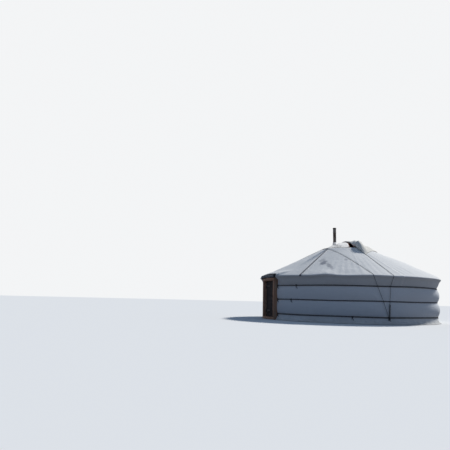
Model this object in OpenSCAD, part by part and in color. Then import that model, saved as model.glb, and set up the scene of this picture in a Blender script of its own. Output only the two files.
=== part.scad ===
// Round felt tent (yurt) with a low conical roof, built as its real pieces.
// Millimetres, +Z up. The origin is at ground level in the middle of the room
// and the door faces -Y. An azimuth is counted from the door towards +X.

/* [Wall lattice] */
// Radius of the outer face of the lattice
lattice_r = 2965; // [2900:5:3100]
// Height of the lattice heads above the ground
lattice_h = 1497; // [1440:1:1560]
// Thickness of two crossed laths
lath_t = 26; // [20:1:32]
// Width of one lath
lath_w = 26; // [18:1:34]
// Height of the lowest and the highest crossing from the lath ends
lath_end = 45; // [35:1:60]
// Rows of crossings above the lowest one, an even number
lath_rows = 8; // [6:2:10]
// Number of lattice sections
sections = 5; // [4:1:6]
// Lath heads, and so roof poles, on each lattice section
section_heads = 16; // [14:2:18]
// Roof poles that rest on the door frame, an odd number
door_poles = 5; // [5:2:7]

/* [Wall covers] */
// Thickness of the wall felt
wall_felt_t = 50; // [35:1:60]
// Thickness of the wall canvas under the girths
wall_canvas_t = 12; // [8:1:16]
// How far the wall canvas bulges between the girths
bulge = 22; // [8:1:22]
// Height of the ground skirt
skirt_h = 232; // [225:1:260]
// How far the foot of the skirt stands out from the canvas
skirt_flare = 104; // [60:1:140]
// Height of the skirt's foot edge
skirt_edge = 6; // [3:1:15]

/* [Girths and ropes] */
// Thickness of the three girths
girth_d = 22; // [14:1:26]
// Height of the lower girth
girth_low = 210; // [200:1:220]
// Height of the middle girth
girth_mid = 690; // [640:1:740]
// Height of the upper girth
girth_top = 1150; // [1130:1:1190]
// Thickness of the roof ropes
rope_d = 12; // [8:1:14]
// Distance of the long roof ropes from the middle of the roof
rope_y = 936; // [925:1:1000]
// Azimuth at which the long roof ropes reach the lower girth
rope_foot_az = 81.5; // [78:0.5:83]
// Width of the roof bands
band_w = 50; // [20:1:60]
// Thickness of the roof bands
band_t = 8; // [5:1:12]
// Where the roof bands leave the long rope, from the middle
band_x = 290; // [150:5:400]
// Direction of the roof bands from the door's axis
band_angle = 37.7; // [34:0.1:46]

/* [Roof] */
// Slope of the roof
roof_angle = 25.4; // [22:0.1:28]
// Thickness of a roof pole
pole_d = 36; // [28:1:42]
// How far the poles reach past the lattice
pole_past = 65; // [30:1:80]
// Thickness of the roof felt
roof_felt_t = 40; // [25:1:50]
// Thickness of the roof canvas
roof_canvas_t = 6; // [4:1:8]
// Radius of the eave
eave_r = 3190; // [3170:5:3260]
// Height of the roof canvas's hanging edge above the upper girth
valance_lap = -8; // [-10:1:20]
// How far the hanging edge bellies out above the upper girth
valance_belly = 30; // [10:1:34]
// Gap between the crown ring and the roof felt
felt_gap = 32; // [25:1:50]
// Gap between the crown ring and the roof canvas
canvas_gap = 52; // [45:1:80]

/* [Crown] */
// Outer radius of the crown ring
crown_r = 830; // [760:5:840]
// Width of the crown ring
crown_w = 80; // [60:1:100]
// Height of the crown ring
crown_h = 120; // [90:1:140]
// Rise of the crown's dome above its ring
crown_rise = 265; // [200:5:320]
// Number of crown spokes
spokes = 8; // [8:1:8]
// Width of a spoke
spoke_w = 45; // [35:1:60]
// Depth of a spoke
spoke_t = 55; // [40:1:70]
// Radius of the crown's hub
hub_r = 120; // [90:1:140]
// Height of the crown's hub
hub_h = 75; // [60:1:100]
// Half of the diagonal of the square crown cover
cover_reach = 1500; // [1400:10:1600]
// Thickness of the crown cover
cover_t = 28; // [18:1:36]
// Azimuth of the crown cover's right corner
cover_az = 84; // [82:0.5:90]
// Height of the crown cover's fold above the surface under it
fold_rise = 18; // [10:1:60]
// Height of the bunched part of the fold
bunch_rise = 205; // [100:5:260]
// Distance of the bunched part from the middle
bunch_x = 1000; // [800:10:1100]

/* [Stove pipe] */
// Diameter of the pipe
pipe_d = 114; // [90:1:130]
// Wall of the pipe
pipe_wall = 2; // [1.5:0.5:4]
// Distance of the pipe from the middle
pipe_y = 460; // [420:5:500]
// Height of the pipe's top
pipe_top = 3372; // [3200:5:3500]
// Height of the pipe's open lower end
pipe_foot = 2250; // [2150:5:2350]
// Height of the cap
cap_h = 42; // [30:1:60]
// How far the cap stands out from the pipe
cap_lip = 9; // [5:1:20]
// Thickness of the flashing sheet
flashing_t = 3; // [2:0.5:5]
// Gap between the flashing and the crown's hub
flashing_gap = 70; // [10:5:120]
// Height of the pipe collar above the flashing
collar_h = 70; // [50:1:90]
// Width of the pipe collar's foot round the pipe
collar_foot = 39; // [25:1:50]
// Width of the pipe collar's top round the pipe, before the cut at its foot
collar_neck = 10; // [5:1:20]

/* [Posts] */
// Thickness of the two posts
post_w = 82; // [60:1:100]
// Side of a post's base block
post_base = 170; // [140:1:200]
// Height of a post's base block
post_base_h = 60; // [40:1:80]
// Length of a post's head
post_head = 260; // [200:1:300]
// Height of a post's head
post_head_h = 90; // [70:1:120]

/* [Door] */
// Width of the door frame over its jambs
frame_w = 1010; // [960:1:1030]
// Width of a jamb
jamb_w = 95; // [80:1:110]
// Depth of the door frame
frame_depth = 205; // [195:1:220]
// How far the frame stands out from the canvas
frame_out = 103; // [90:1:108]
// Height of the threshold
threshold_h = 80; // [60:1:100]
// Height of the lintel at its front
lintel_h = 92; // [70:1:110]
// Depth of the leaf's face behind the frame's front
recess = 100; // [88:1:104]
// Thickness of the leaf
leaf_t = 45; // [35:1:50]
// Gap round the leaf
leaf_gap = 8; // [7:1:12]
// Width of the leaf's rails and stiles
stile_w = 105; // [80:1:130]
// Depth of the leaf's panels
panel_in = 14; // [8:1:15]
// Width of the stop strips
stop_w = 25; // [15:1:30]
// Thickness of the stop strips
stop_t = 30; // [20:1:35]
// Gap between the leaf and its stops
stop_gap = 6; // [5:0.5:8]
// Diameter of the hinge pins
pin_d = 10; // [8:1:12]
// Running clearance of a hinge pin, on the radius
pin_play = 0.06; // [0.02:0.01:0.1]
// Wall of a hinge eye
eye_wall = 6.6; // [4:0.2:7]
// Height of a hinge eye
eye_h = 44; // [30:1:60]
// Length of a hinge strap
strap_l = 330; // [200:5:500]
// Thickness of a hinge strap
strap_t = 5; // [4:0.5:6]
// Height of a hinge strap
strap_w = 36; // [24:1:40]
// Distance of the hinges from the ends of the leaf
hinge_inset = 190; // [120:5:300]
// Length of the pull handle
handle_l = 210; // [120:5:300]
// Thickness of the pull handle
handle_d = 22; // [16:1:28]
// Finger room behind the pull handle
handle_room = 34; // [30:1:40]
// Diameter of the rolled door flap
flap_d = 104; // [80:2:110]
// How far the roof covers end behind the door frame's front
cover_back = 80; // [70:1:90]

/* [Hidden] */

poles = sections * section_heads + door_poles;
pole_step = 360 / poles;

// Facets of the large rounds
$fn = 256;
// Facets of small rounds
small_fn = 32;
// Clearance between two pieces that rest on each other
seat = 0.3;
// Clearance of a chord over a curved surface
chord_play = 1.2;
// Half of the angle that stays open between neighbouring pieces of cloth
joint_az = 0.02;
// Larger than the whole tent
far = 4000;

roof_pitch = tan(roof_angle);
roof_cos = cos(roof_angle);
lattice_mid_r = lattice_r - lath_t / 2;

// Heights of the roof's layers at a distance r from the middle
function pole_under(r) = lattice_h + seat + roof_pitch * (lattice_mid_r - r);
function pole_axis(r) = pole_under(r) + pole_d / 2 / roof_cos;
function felt_under(r) = pole_under(r) + (pole_d + seat) / roof_cos;
function felt_mid(r) = felt_under(r) + roof_felt_t / 2 / roof_cos;
function felt_top(r) = felt_under(r) + roof_felt_t / roof_cos;
function canvas_under(r) = felt_top(r) + seat / roof_cos;
function roof_top(r) = canvas_under(r) + roof_canvas_t / roof_cos;

wall_felt_in = lattice_r + seat;
wall_felt_out = wall_felt_in + wall_felt_t;
wall_canvas_in = wall_felt_out + seat;
wall_canvas_out = wall_canvas_in + wall_canvas_t;
valance_out = wall_canvas_out + seat + roof_canvas_t;
girth_r = wall_canvas_out + seat + girth_d / 2;
girth_top_r = valance_out + seat + girth_d / 2;
rope_wall_r = girth_r + girth_d / 2 + seat + rope_d / 2;
rope_wall_top_r = girth_top_r + girth_d / 2 + seat + rope_d / 2;
wall_top_gap = 12;

eave_round = roof_felt_t / 2 + seat + roof_canvas_t;
eave_mid_r = eave_r - eave_round;
eave_mid_z = felt_mid(eave_mid_r);
eave_low_z = eave_mid_z - eave_round;

crown_in = crown_r - crown_w;
felt_hole_r = crown_r + felt_gap;
canvas_hole_r = crown_r + canvas_gap;
ring_top = roof_top(crown_r);
ring_bottom = ring_top - crown_h;
// The dome meets the ring's inner edge this far below its top
dome_set = 6;
dome_edge_z = ring_top - dome_set;
dome_r = (crown_in * crown_in + crown_rise * crown_rise) / (2 * crown_rise);
dome_z = dome_edge_z + crown_rise - dome_r;
function dome_top(r) = dome_z + sqrt(dome_r * dome_r - r * r);

frame_half = frame_w / 2;
door_half = frame_half - jamb_w;
frame_front = wall_canvas_out + frame_out;
frame_back = frame_front - frame_depth;
lintel_top = pole_under(frame_front) - seat;
lintel_low = lintel_top - lintel_h;
leaf_front = frame_front - recess;
leaf_back = leaf_front - leaf_t;
leaf_half = door_half - leaf_gap;
leaf_low = threshold_h + leaf_gap;
leaf_top = lintel_low - leaf_gap;
eye_r = pin_d / 2 + pin_play + eye_wall;
// Distance of the hinge eyes from the jamb
eye_gap = 4;
pivot_x = -door_half + eye_gap + eye_r;
pivot_y = -(leaf_front + seat + eye_r);
hinge_z = [leaf_low + hinge_inset, leaf_top - hinge_inset];

// A ring made by turning an outline of [radius, height] points
module turned(points, from = 0, to = 360) {
    rotate([0, 0, from - 90])
        rotate_extrude(angle = to - from)
            polygon(points);
}

// The space of the doorway, wide enough for the frame, up to a height
module doorway(top, side = seat) {
    half = frame_half + side;
    translate([-half, -far, -1])
        cube([2 * half, far, top + 1]);
}

// Door frame

module frame_block(x0, x1, z0, z1) {
    translate([x0, -frame_front, z0])
        cube([x1 - x0, frame_depth, z1 - z0]);
}

module door_threshold() {
    color("sienna")
        frame_block(-frame_half, frame_half, 0, threshold_h);
}

// A jamb with the strip that stops the leaf
module jamb_solid(side) {
    low = threshold_h + seat;
    high = lintel_low - seat;
    stop_front = leaf_back - stop_gap;
    x_jamb = side > 0 ? door_half : -frame_half;
    x_stop = side > 0 ? door_half - stop_w : -door_half - 1;
    color("sienna")
        union() {
            frame_block(x_jamb, x_jamb + jamb_w, low, high);
            translate([x_stop, -stop_front, low])
                cube([stop_w + 1, stop_t, high - low]);
        }
}

module door_jamb_left() { jamb_solid(-1); }
module door_jamb_right() { jamb_solid(1); }

// The lintel's top follows the roof poles that rest on it
module door_lintel() {
    tall = pole_under(frame_back) + 10;
    near = frame_back - 50;
    beyond = frame_front + 200;
    color("sienna")
        intersection() {
            frame_block(-frame_half, frame_half, lintel_low, tall);
            turned([
                [near, 0], [beyond, 0],
                [beyond, pole_under(beyond) - seat], [near, pole_under(near) - seat]
            ], -40, 40);
        }
}

// Two panels sunk into the outer face of a boarded leaf
module door_leaf() {
    panel_w = 2 * leaf_half - 2 * stile_w;
    panel_h = (leaf_top - leaf_low - 3 * stile_w) / 2;
    color("saddlebrown")
        difference() {
            translate([-leaf_half, -leaf_front, leaf_low])
                cube([2 * leaf_half, leaf_t, leaf_top - leaf_low]);
            for (k = [0, 1])
                translate([
                    -panel_w / 2, -leaf_front - 1,
                    leaf_low + stile_w + k * (panel_h + stile_w)
                ])
                    cube([panel_w, panel_in + 1, panel_h]);
        }
}

module hinge_strap(z) {
    strap_low = z + eye_h / 2 - strap_w / 2;
    difference() {
        union() {
            translate([pivot_x, pivot_y, z])
                cylinder(r = eye_r, h = eye_h);
            translate([pivot_x, -leaf_front - seat - strap_t, strap_low])
                cube([strap_l, strap_t, strap_w]);
        }
        translate([pivot_x, pivot_y, z - 1])
            cylinder(r = pin_d / 2 + pin_play, h = eye_h + 2);
    }
}

module door_hinge_straps() {
    color("dimgray")
        for (z = hinge_z) hinge_strap(z);
}

// A pin on a bracket that is fixed to the jamb's inner face
module hinge_pin(z) {
    plate_t = 3;
    plate_h = 60;
    arm_t = 8;
    arm_half = eye_r - 2;
    pin_past = 5;
    top = z - 1;
    jamb_x = -door_half + seat;
    translate([pivot_x, pivot_y, top - arm_t])
        cylinder(r = pin_d / 2, h = eye_h + arm_t + 1 + pin_past);
    translate([jamb_x, pivot_y - arm_half, top - arm_t])
        cube([pivot_x - jamb_x + pin_d / 2, 2 * arm_half, arm_t]);
    translate([jamb_x, pivot_y - arm_half, top - plate_h])
        cube([plate_t, 2 * arm_half, plate_h]);
}

module door_hinge_pins() {
    color("dimgray")
        for (z = hinge_z) hinge_pin(z);
}

module door_handle() {
    handle_x = leaf_half - stile_w / 2;
    handle_z = (leaf_low + leaf_top) / 2 - handle_l / 2;
    grip_y = -(leaf_front + seat + handle_room + handle_d / 2);
    foot_inset = 26;
    foot_d = handle_d * 0.7;
    color("dimgray")
        translate([handle_x, grip_y, handle_z])
            union() {
                cylinder(d = handle_d, h = handle_l);
                for (z = [foot_inset, handle_l - foot_inset])
                    translate([0, 0, z])
                        rotate([-90, 0, 0])
                            cylinder(d = foot_d, h = handle_room + handle_d / 2);
            }
}

// The door's canvas flap, rolled up on the lintel in front of the roof covers
module door_flap_roll() {
    flap_past = 30;
    half = frame_half + flap_past;
    roll_z = pole_under(frame_front) + flap_d / 2 / roof_cos;
    color("lightslategray")
        translate([-half, -frame_front, roll_z])
            rotate([0, 90, 0])
                cylinder(d = flap_d, h = 2 * half);
}

// Wall lattice: flat facets round the wall, each two lath heads wide, with its
// borders where laths cross

section_angle = section_heads * pole_step;
facets = section_heads / 2;
facet_angle = section_angle / facets;
facet_w = 2 * lattice_r * sin(facet_angle / 2);
head_pitch = facet_w / 2;
row_h = (lattice_h - 2 * lath_end) / lath_rows;
lath_slope = 2 * row_h / head_pitch;
lath_angle = atan(lath_slope);
// How far neighbouring facets run into each other
facet_lap = 1.5;
// Room for the inner corners of two sections that meet at an angle
section_gap = 0.5;
section_trim = lath_t * tan(facet_angle / 2) + section_gap;

// The laths that cross a facet, which reaches from x = low to x = high
module facet_outline(low, high) {
    reach = ceil(lattice_h / lath_slope / head_pitch) + 1;
    intersection() {
        translate([low, 0])
            square([high - low, lattice_h]);
        union()
            for (lean = [1, -1], k = [-reach : reach])
                translate([k * head_pitch, lath_end])
                    rotate(90 + lean * (90 - lath_angle))
                        translate([-far / 2, -lath_w / 2])
                            square([far, lath_w]);
    }
}

module lattice_section(index) {
    start = (door_poles / 2 + index * section_heads) * pole_step;
    color("indianred")
        union()
            for (k = [0 : facets - 1])
                rotate([0, 0, start + (k + 0.5) * facet_angle])
                    translate([0, -lattice_r * cos(facet_angle / 2) + lath_t, 0])
                        rotate([90, 0, 0])
                            linear_extrude(lath_t)
                                facet_outline(
                                    -facet_w / 2 + (k == 0 ? section_trim : -facet_lap),
                                    facet_w / 2 - (k == facets - 1 ? section_trim : -facet_lap)
                                );
}

module lattice_front_right() { lattice_section(0); }
module lattice_right() { lattice_section(1); }
module lattice_back() { lattice_section(2); }
module lattice_left() { lattice_section(3); }
module lattice_front_left() { lattice_section(4); }

// Wall felt in four pieces, with a small gap between their ends

module wall_felt(from, to) {
    top = pole_under(wall_felt_out) - wall_top_gap;
    color("gainsboro")
        difference() {
            turned([
                [wall_felt_in, 0], [wall_felt_out, 0],
                [wall_felt_out, top], [wall_felt_in, top]
            ], from + joint_az, to - joint_az);
            doorway(far / 2);
        }
}

module wall_felt_front_right() { wall_felt(0, 90); }
module wall_felt_back_right() { wall_felt(90, 180); }
module wall_felt_back_left() { wall_felt(180, 270); }
module wall_felt_front_left() { wall_felt(270, 360); }

// Wall canvas: drawn in by the girths and bulging between them

function bay(low, high, steps) = [
    for (k = [0 : steps])
        [wall_canvas_out + bulge * sin(180 * k / steps), low + (high - low) * k / steps]
];

module wall_canvas(from, to) {
    low = skirt_h + seat;
    top = pole_under(wall_canvas_out + bulge) - wall_top_gap;
    color("whitesmoke")
        difference() {
            turned(concat(
                [[wall_canvas_in, low]],
                bay(low, girth_mid - girth_d / 2, 8),
                bay(girth_mid + girth_d / 2, girth_top - girth_d, 8),
                [[wall_canvas_out, top], [wall_canvas_in, top]]
            ), from + joint_az, to - joint_az);
            doorway(far / 2);
        }
}

module wall_canvas_right() { wall_canvas(0, 180); }
module wall_canvas_left() { wall_canvas(180, 360); }

// The skirt closes the foot of the wall and flares out on the ground
module ground_skirt() {
    neck = girth_low - girth_d;
    steps = 5;
    color("whitesmoke")
        difference() {
            turned(concat(
                [[wall_canvas_in, 0], [wall_canvas_out + skirt_flare, 0]],
                [for (k = [0 : steps])
                    let (t = k / steps)
                        [
                            wall_canvas_out + skirt_flare * pow(1 - t, 3),
                            skirt_edge + (neck - skirt_edge) * t
                        ]],
                [[wall_canvas_out, skirt_h], [wall_canvas_in, skirt_h]]
            ));
            doorway(far / 2);
        }
}

// Girths run round the wall from jamb to jamb

module girth(r, z) {
    half = asin((frame_half + seat + girth_d / 2) / r);
    color("darkslategray")
        translate([0, 0, z])
            rotate([0, 0, half - 90])
                rotate_extrude(angle = 360 - 2 * half)
                    translate([r, 0])
                        circle(d = girth_d, $fn = small_fn);
}

module girth_lower() { girth(girth_r, girth_low); }
module girth_middle() { girth(girth_r, girth_mid); }
module girth_upper() { girth(girth_top_r, girth_top); }

// Roof poles from the crown ring to past the lattice heads

pole_out_r = lattice_r + pole_past;
pole_in_r = crown_r + seat + pole_d / 2 * sin(roof_angle);

module roof_pole(az) {
    run = pole_out_r - pole_in_r;
    rotate([0, 0, az])
        translate([0, -pole_in_r, pole_axis(pole_in_r)])
            rotate([90 + roof_angle, 0, 0])
                cylinder(d = pole_d, h = run / roof_cos, $fn = small_fn);
}

module roof_poles_right() {
    color("indianred")
        for (k = [0 : floor((poles - 1) / 2)]) roof_pole(k * pole_step);
}

module roof_poles_left() {
    color("indianred")
        for (k = [floor((poles + 1) / 2) : poles - 1]) roof_pole(k * pole_step);
}

// The space over the door, which the roof covers leave free, a little wider than
// the frame
door_cut_side = 40;

module over_door() {
    half = frame_half + door_cut_side;
    translate([-half, -far, lintel_low])
        cube([2 * half, far - frame_front + cover_back, far]);
}

// Roof felt in two halves that meet across the tent

module roof_felt(from, to) {
    lean = [sin(roof_angle), roof_cos] * roof_felt_t / 2;
    mid = [eave_mid_r, eave_mid_z];
    color("gainsboro")
        difference() {
            turned([
                [felt_hole_r, felt_under(felt_hole_r)], mid - lean,
                mid + lean, [felt_hole_r, felt_top(felt_hole_r)]
            ], from + joint_az, to - joint_az);
            over_door();
        }
}

module roof_felt_front() { roof_felt(-90, 90); }
module roof_felt_back() { roof_felt(90, 270); }

// Roof canvas: over the felt, round its edge and down to the upper girth

function reversed(list) = [for (k = [len(list) - 1 : -1 : 0]) list[k]];

function eave_arc(r) = [
    for (k = [0 : 8])
        let (a = 90 - roof_angle - k * (135 - roof_angle) / 8)
            [eave_mid_r + r * cos(a), eave_mid_z + r * sin(a)]
];

valance_low = girth_top + valance_lap;
// The hanging edge bellies out most this far above its middle
belly_up = 40;
belly_z = (girth_top + eave_low_z) / 2 + belly_up;
// Over the door it is cut off this far under the eave
door_cut_gap = 2;

module roof_canvas(from, to) {
    out_r = eave_round;
    in_r = eave_round - roof_canvas_t;
    hang = valance_out - roof_canvas_t;
    neck_z = girth_top + girth_d;
    color("white")
        difference() {
            turned(concat(
                [[canvas_hole_r, roof_top(canvas_hole_r)]],
                eave_arc(out_r),
                [[valance_out + valance_belly, belly_z], [valance_out, neck_z]],
                [[valance_out, valance_low], [hang, valance_low]],
                [[hang, neck_z], [hang + valance_belly, belly_z]],
                reversed(eave_arc(in_r)),
                [[canvas_hole_r, canvas_under(canvas_hole_r)]]
            ), from + joint_az, to - joint_az);
            doorway(eave_low_z - door_cut_gap, door_cut_side);
            over_door();
        }
}

module roof_canvas_front() { roof_canvas(-90, 90); }
module roof_canvas_back() { roof_canvas(90, 270); }

// Crown: a ring, arched spokes and a hub

module crown_ring() {
    color("firebrick")
        turned([
            [crown_in, ring_bottom], [crown_r, ring_bottom],
            [crown_r, ring_top], [crown_in, ring_top]
        ]);
}

spoke_az = 180 / spokes;

module crown_spokes() {
    from = hub_r + seat;
    to = crown_in - seat;
    color("firebrick")
        for (k = [0 : spokes - 1])
            rotate([0, 0, spoke_az + k * 360 / spokes - 90])
                translate([0, 0, dome_z])
                    rotate([90, 0, 0])
                        linear_extrude(spoke_w, center = true)
                            intersection() {
                                difference() {
                                    circle(r = dome_r);
                                    circle(r = dome_r - spoke_t);
                                }
                                translate([from, 0])
                                    square([to - from, far]);
                            }
}

module crown_hub() {
    color("firebrick")
        translate([0, 0, dome_top(0) - hub_h])
            cylinder(r = hub_r, h = hub_h - 1);
}

// Stove pipe with its flashing over the three front bays of the crown

module pipe_flashing() {
    low = hub_r + flashing_gap;
    high = crown_in - 5;
    hole_d = pipe_d + 6;
    color("silver")
        difference() {
            translate([0, 0, dome_z])
                rotate([0, 0, -90 - 3 * spoke_az])
                    rotate_extrude(angle = 6 * spoke_az)
                        intersection() {
                            difference() {
                                circle(r = dome_r + seat + flashing_t);
                                circle(r = dome_r + seat);
                            }
                            translate([low, 0])
                                square([high - low, far]);
                        }
            translate([0, -pipe_y, 0])
                cylinder(d = hole_d, h = far);
        }
}

// A cone round the pipe, with its foot cut to the slope of the flashing
module pipe_collar() {
    hole_r = pipe_d / 2 + seat;
    slope = asin(pipe_y / dome_r);
    // The dome falls away from the foot's plane towards the hole's edge
    fall = 0.9 * hole_r * hole_r / (2 * dome_r);
    foot_r = dome_r + 2 * seat + flashing_t - fall;
    color("silver")
        difference() {
            translate([0, -pipe_y, dome_top(pipe_y) - collar_h])
                cylinder(r1 = hole_r + collar_foot, r2 = hole_r + collar_neck, h = 2 * collar_h);
            translate([0, 0, dome_z])
                rotate([slope, 0, 0])
                    translate([-far / 2, -far / 2, foot_r - far])
                        cube([far, far, far]);
            translate([0, -pipe_y, 0])
                cylinder(r = hole_r, h = far);
        }
}

module stove_pipe() {
    color("dimgray")
        translate([0, -pipe_y, pipe_foot])
            difference() {
                cylinder(d = pipe_d, h = pipe_top - pipe_foot);
                translate([0, 0, -1])
                    cylinder(d = pipe_d - 2 * pipe_wall, h = pipe_top - pipe_foot + 2);
            }
}

// The cap sits over the pipe's top and overlaps it
module pipe_cap() {
    skirt = cap_h / 2;
    color("black")
        translate([0, -pipe_y, pipe_top - skirt])
            difference() {
                cylinder(d = pipe_d + 2 * cap_lip, h = cap_h);
                translate([0, 0, -1])
                    cylinder(d = pipe_d + 2 * seat, h = skirt + seat + 1);
            }
}

// Posts under the crown ring

module support_post(side) {
    x = side * (crown_r - crown_w / 2);
    head_z = ring_bottom - seat - post_head_h;
    head_slope = post_head_h * 0.6;
    color("firebrick")
        translate([x, 0, 0])
            union() {
                translate([-post_base / 2, -post_base / 2, 0])
                    cube([post_base, post_base, post_base_h]);
                translate([-post_w / 2, -post_w / 2, post_base_h / 2])
                    cube([post_w, post_w, head_z - post_base_h / 2 + 1]);
                translate([-post_w / 2, 0, head_z])
                    rotate([90, 0, 90])
                        linear_extrude(post_w)
                            polygon([
                                [-post_w / 2, 0], [post_w / 2, 0],
                                [post_head / 2, head_slope],
                                [post_head / 2, post_head_h],
                                [-post_head / 2, post_head_h],
                                [-post_head / 2, head_slope]
                            ]);
            }
}

module support_post_right() { support_post(1); }
module support_post_left() { support_post(-1); }

// Sweeps an outline along a path. Every ring is upright and square to the path
// in plan, and its sides count from the outline's first point.
function flat_dir(a, b) =
    let (d = [b[0] - a[0], b[1] - a[1], b[2] - a[2]]) d / norm(d);

function path_dir(path, k) =
    let (last = len(path) - 1)
        k == 0 ? flat_dir(path[0], path[1]) :
        k == last ? flat_dir(path[last - 1], path[last]) :
        flat_dir(path[k - 1], path[k + 1]);

// The surface's outward direction at a point on the roof or the wall
function out_dir(p) =
    let (r = norm([p[0], p[1]]), n = [p[0] / r, p[1] / r, 0])
        r < eave_mid_r && p[2] > eave_mid_z ?
            [n[0] * sin(roof_angle), n[1] * sin(roof_angle), roof_cos] : n;

function side_dir(path, k) =
    let (v = cross(path_dir(path, k), out_dir(path[k]))) v / norm(v);

function ring_points(path, outline) = [
    for (k = [0 : len(path) - 1])
        let (
            side = side_dir(path, k),
            up = cross(side, path_dir(path, k))
        )
            for (q = outline) path[k] + side * q[0] + up * q[1]
];

module swept(path, outline) {
    n = len(outline);
    last = len(path) - 1;
    polyhedron(
        ring_points(path, outline),
        concat(
            [[for (i = [0 : n - 1]) i]],
            [[for (i = [n - 1 : -1 : 0]) last * n + i]],
            [for (k = [0 : last - 1], i = [0 : n - 1])
                let (j = (i + 1) % n, a = k * n)
                    each [[a + j, a + i, a + n + i], [a + j, a + n + i, a + n + j]]]
        )
    );
}

function round_outline(d, sides) = [
    for (k = [0 : sides - 1])
        [d / 2 * cos(360 * k / sides), d / 2 * sin(360 * k / sides)]
];

function flat_outline(w, t) = [[w / 2, -t / 2], [w / 2, t / 2], [-w / 2, t / 2], [-w / 2, -t / 2]];

// A point over the roof canvas, a height h off it
function on_roof(x, y, h) =
    let (r = norm([x, y]))
        [
            x + x / r * h * sin(roof_angle), y + y / r * h * sin(roof_angle),
            roof_top(r) + h * roof_cos
        ];

function polar(r, az, z) = [r * sin(az), -r * cos(az), z];

// Points round the eave, a height h off it and at angles above the level
function round_eave(az, h, angles) = [
    for (a = angles) polar(
        eave_mid_r + (eave_round + h) * cos(a), az, eave_mid_z + (eave_round + h) * sin(a))
];

// Round the eave and down the wall, from azimuth az to foot_az
rope_past = 105;
function down_wall(az, foot_az, h) =
    let (
        turn = foot_az - az,
        top_r = rope_wall_top_r + chord_play,
        low_r = rope_wall_r + chord_play
    )
        concat(
            round_eave(az, h, [54, 31, 8, -15]),
            [
                polar(top_r, az + turn * 0.30, girth_top + girth_d),
                polar(top_r, az + turn * 0.33, girth_top - girth_d),
                polar(low_r, az + turn * 0.68, girth_mid),
                polar(low_r, foot_az, girth_low),
                polar(low_r, foot_az, girth_low - rope_past)
            ]
        );

// Ropes and bands leave the cone of the roof this far before the eave's middle
eave_lead = 5;
roof_end_r = eave_mid_r - eave_lead;
rope_h = rope_d / 2 + chord_play;
rope_end_x = sqrt(roof_end_r * roof_end_r - rope_y * rope_y);
rope_end_az = atan2(rope_end_x, rope_y);

// One half of a long rope, from the middle outwards
function rope_half() = concat(
    [for (k = [1 : 28])
        let (t = k / 28) on_roof(rope_end_x * t, -rope_y, rope_h)],
    down_wall(rope_end_az, rope_foot_az, rope_h)
);

function flip_x(path) = [for (k = [len(path) - 1 : -1 : 0]) [-path[k][0], path[k][1], path[k][2]]];

module roof_rope_front() {
    half = rope_half();
    color("darkslategray")
        swept(
            concat(flip_x(half), [on_roof(0, -rope_y, rope_h)], half),
            round_outline(rope_d, 8)
        );
}

// The line from the long rope, at band_x, straight down the roof to the eave
band_dir = [sin(band_angle), -cos(band_angle)];
band_top = [band_x, -rope_y];

// Distance from a point on that line at which it reaches the eave
function band_reach(from) =
    let (b = from * band_dir, c = from * from - roof_end_r * roof_end_r)
        -b + sqrt(b * b - c);

band_end = band_top + band_dir * band_reach(band_top);
band_az = atan2(band_end[0], -band_end[1]);

function down_band(from, steps, h) =
    let (run = band_dir * band_reach(from) / steps)
        [for (k = [0 : steps])
            let (p = from + run * k) on_roof(p[0], p[1], h)];

// The back rope passes behind the crown, under its cover, and down on both sides
module roof_rope_back() {
    foot_az = band_az + 5;
    half = concat(down_band(band_top, 24, rope_h), down_wall(band_az, foot_az, rope_h));
    across = [for (k = [-2 : 2]) on_roof(band_x * k / 3, -rope_y, rope_h)];
    color("darkslategray")
        rotate([0, 0, 180])
            swept(concat(flip_x(half), across, half), round_outline(rope_d, 8));
}

// Flat bands from the long rope down to the eave, tucked under it
module roof_bands_front() {
    band_h = band_t / 2 + chord_play;
    clear_rope = 40;
    path = concat(
        down_band(band_top + band_dir * clear_rope, 20, band_h),
        round_eave(band_az, band_h, [53, 30, 7, -16, -39, -50])
    );
    outline = flat_outline(band_w, band_t);
    color("darkslategray")
        for (m = [0, 1])
            mirror([m, 0, 0])
                swept(path, outline);
}

// Ropes from the corners of the crown cover down to the lower girth

module cover_rope(az, foot_az, start) {
    run = roof_end_r - start;
    color("darkslategray")
        swept(
            concat(
                [for (k = [0 : 6])
                    let (p = polar(start + run * k / 6, az, 0))
                        on_roof(p[0], p[1], rope_h)],
                down_wall(az, foot_az, rope_h)
            ),
            round_outline(rope_d, 8)
        );
}

cover_corner = 30;

module cover_ropes() {
    side_start = cover_reach + cover_corner + rope_d;
    cover_rope(cover_az, cover_az - 2, side_start);
    cover_rope(cover_az + 180, cover_az + 182, side_start);
    cover_rope(cover_az + 90, cover_az + 92, cover_reach);
}

// Crown cover: a square of felted canvas folded back across the crown. Its fold
// is a ridge, bunched up on the right, and its corner points to the back. Its
// points are in a frame of its own, in which the fold lies along X.

cover_cols = 36;
cover_rows = 18;
cover_front = 45;
// The corner is cut off this far along, before its point
cover_end = 0.985;
// Clearance of the cover's facets over the dome and the roof, and how far before
// its corners it comes down onto the canvas
cover_play = 2.4;
corner_ease = 200;
// Breadth of the fold across it
fold_w = 400;
// The bunched part: its breadth along the fold, inwards and outwards, its breadth
// across, and the line that its crest follows
bunch_in_w = 600;
bunch_out_w = 330;
bunch_w = 170;
bunch_y = 300;
bunch_slant = 0.23;
// Bulge over the crown ring's outer edge, at the front and beyond some distance
// back, and its breadth
edge_rise = 14;
edge_back_rise = 49;
edge_back = 500;
edge_w = 120;
// Breadth of the bulge over the rope that passes under the cover
rope_bulge_w = 300;

// The surface that the cover lies on
function under_cover(r) =
    r < crown_in ? dome_top(r) :
    r < crown_r ? max(dome_top(crown_in), ring_top) :
    max(roof_top(r), ring_top - (r - crown_r) * roof_pitch);

function bell(distance, width) = exp(-pow(distance / width, 2));

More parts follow.
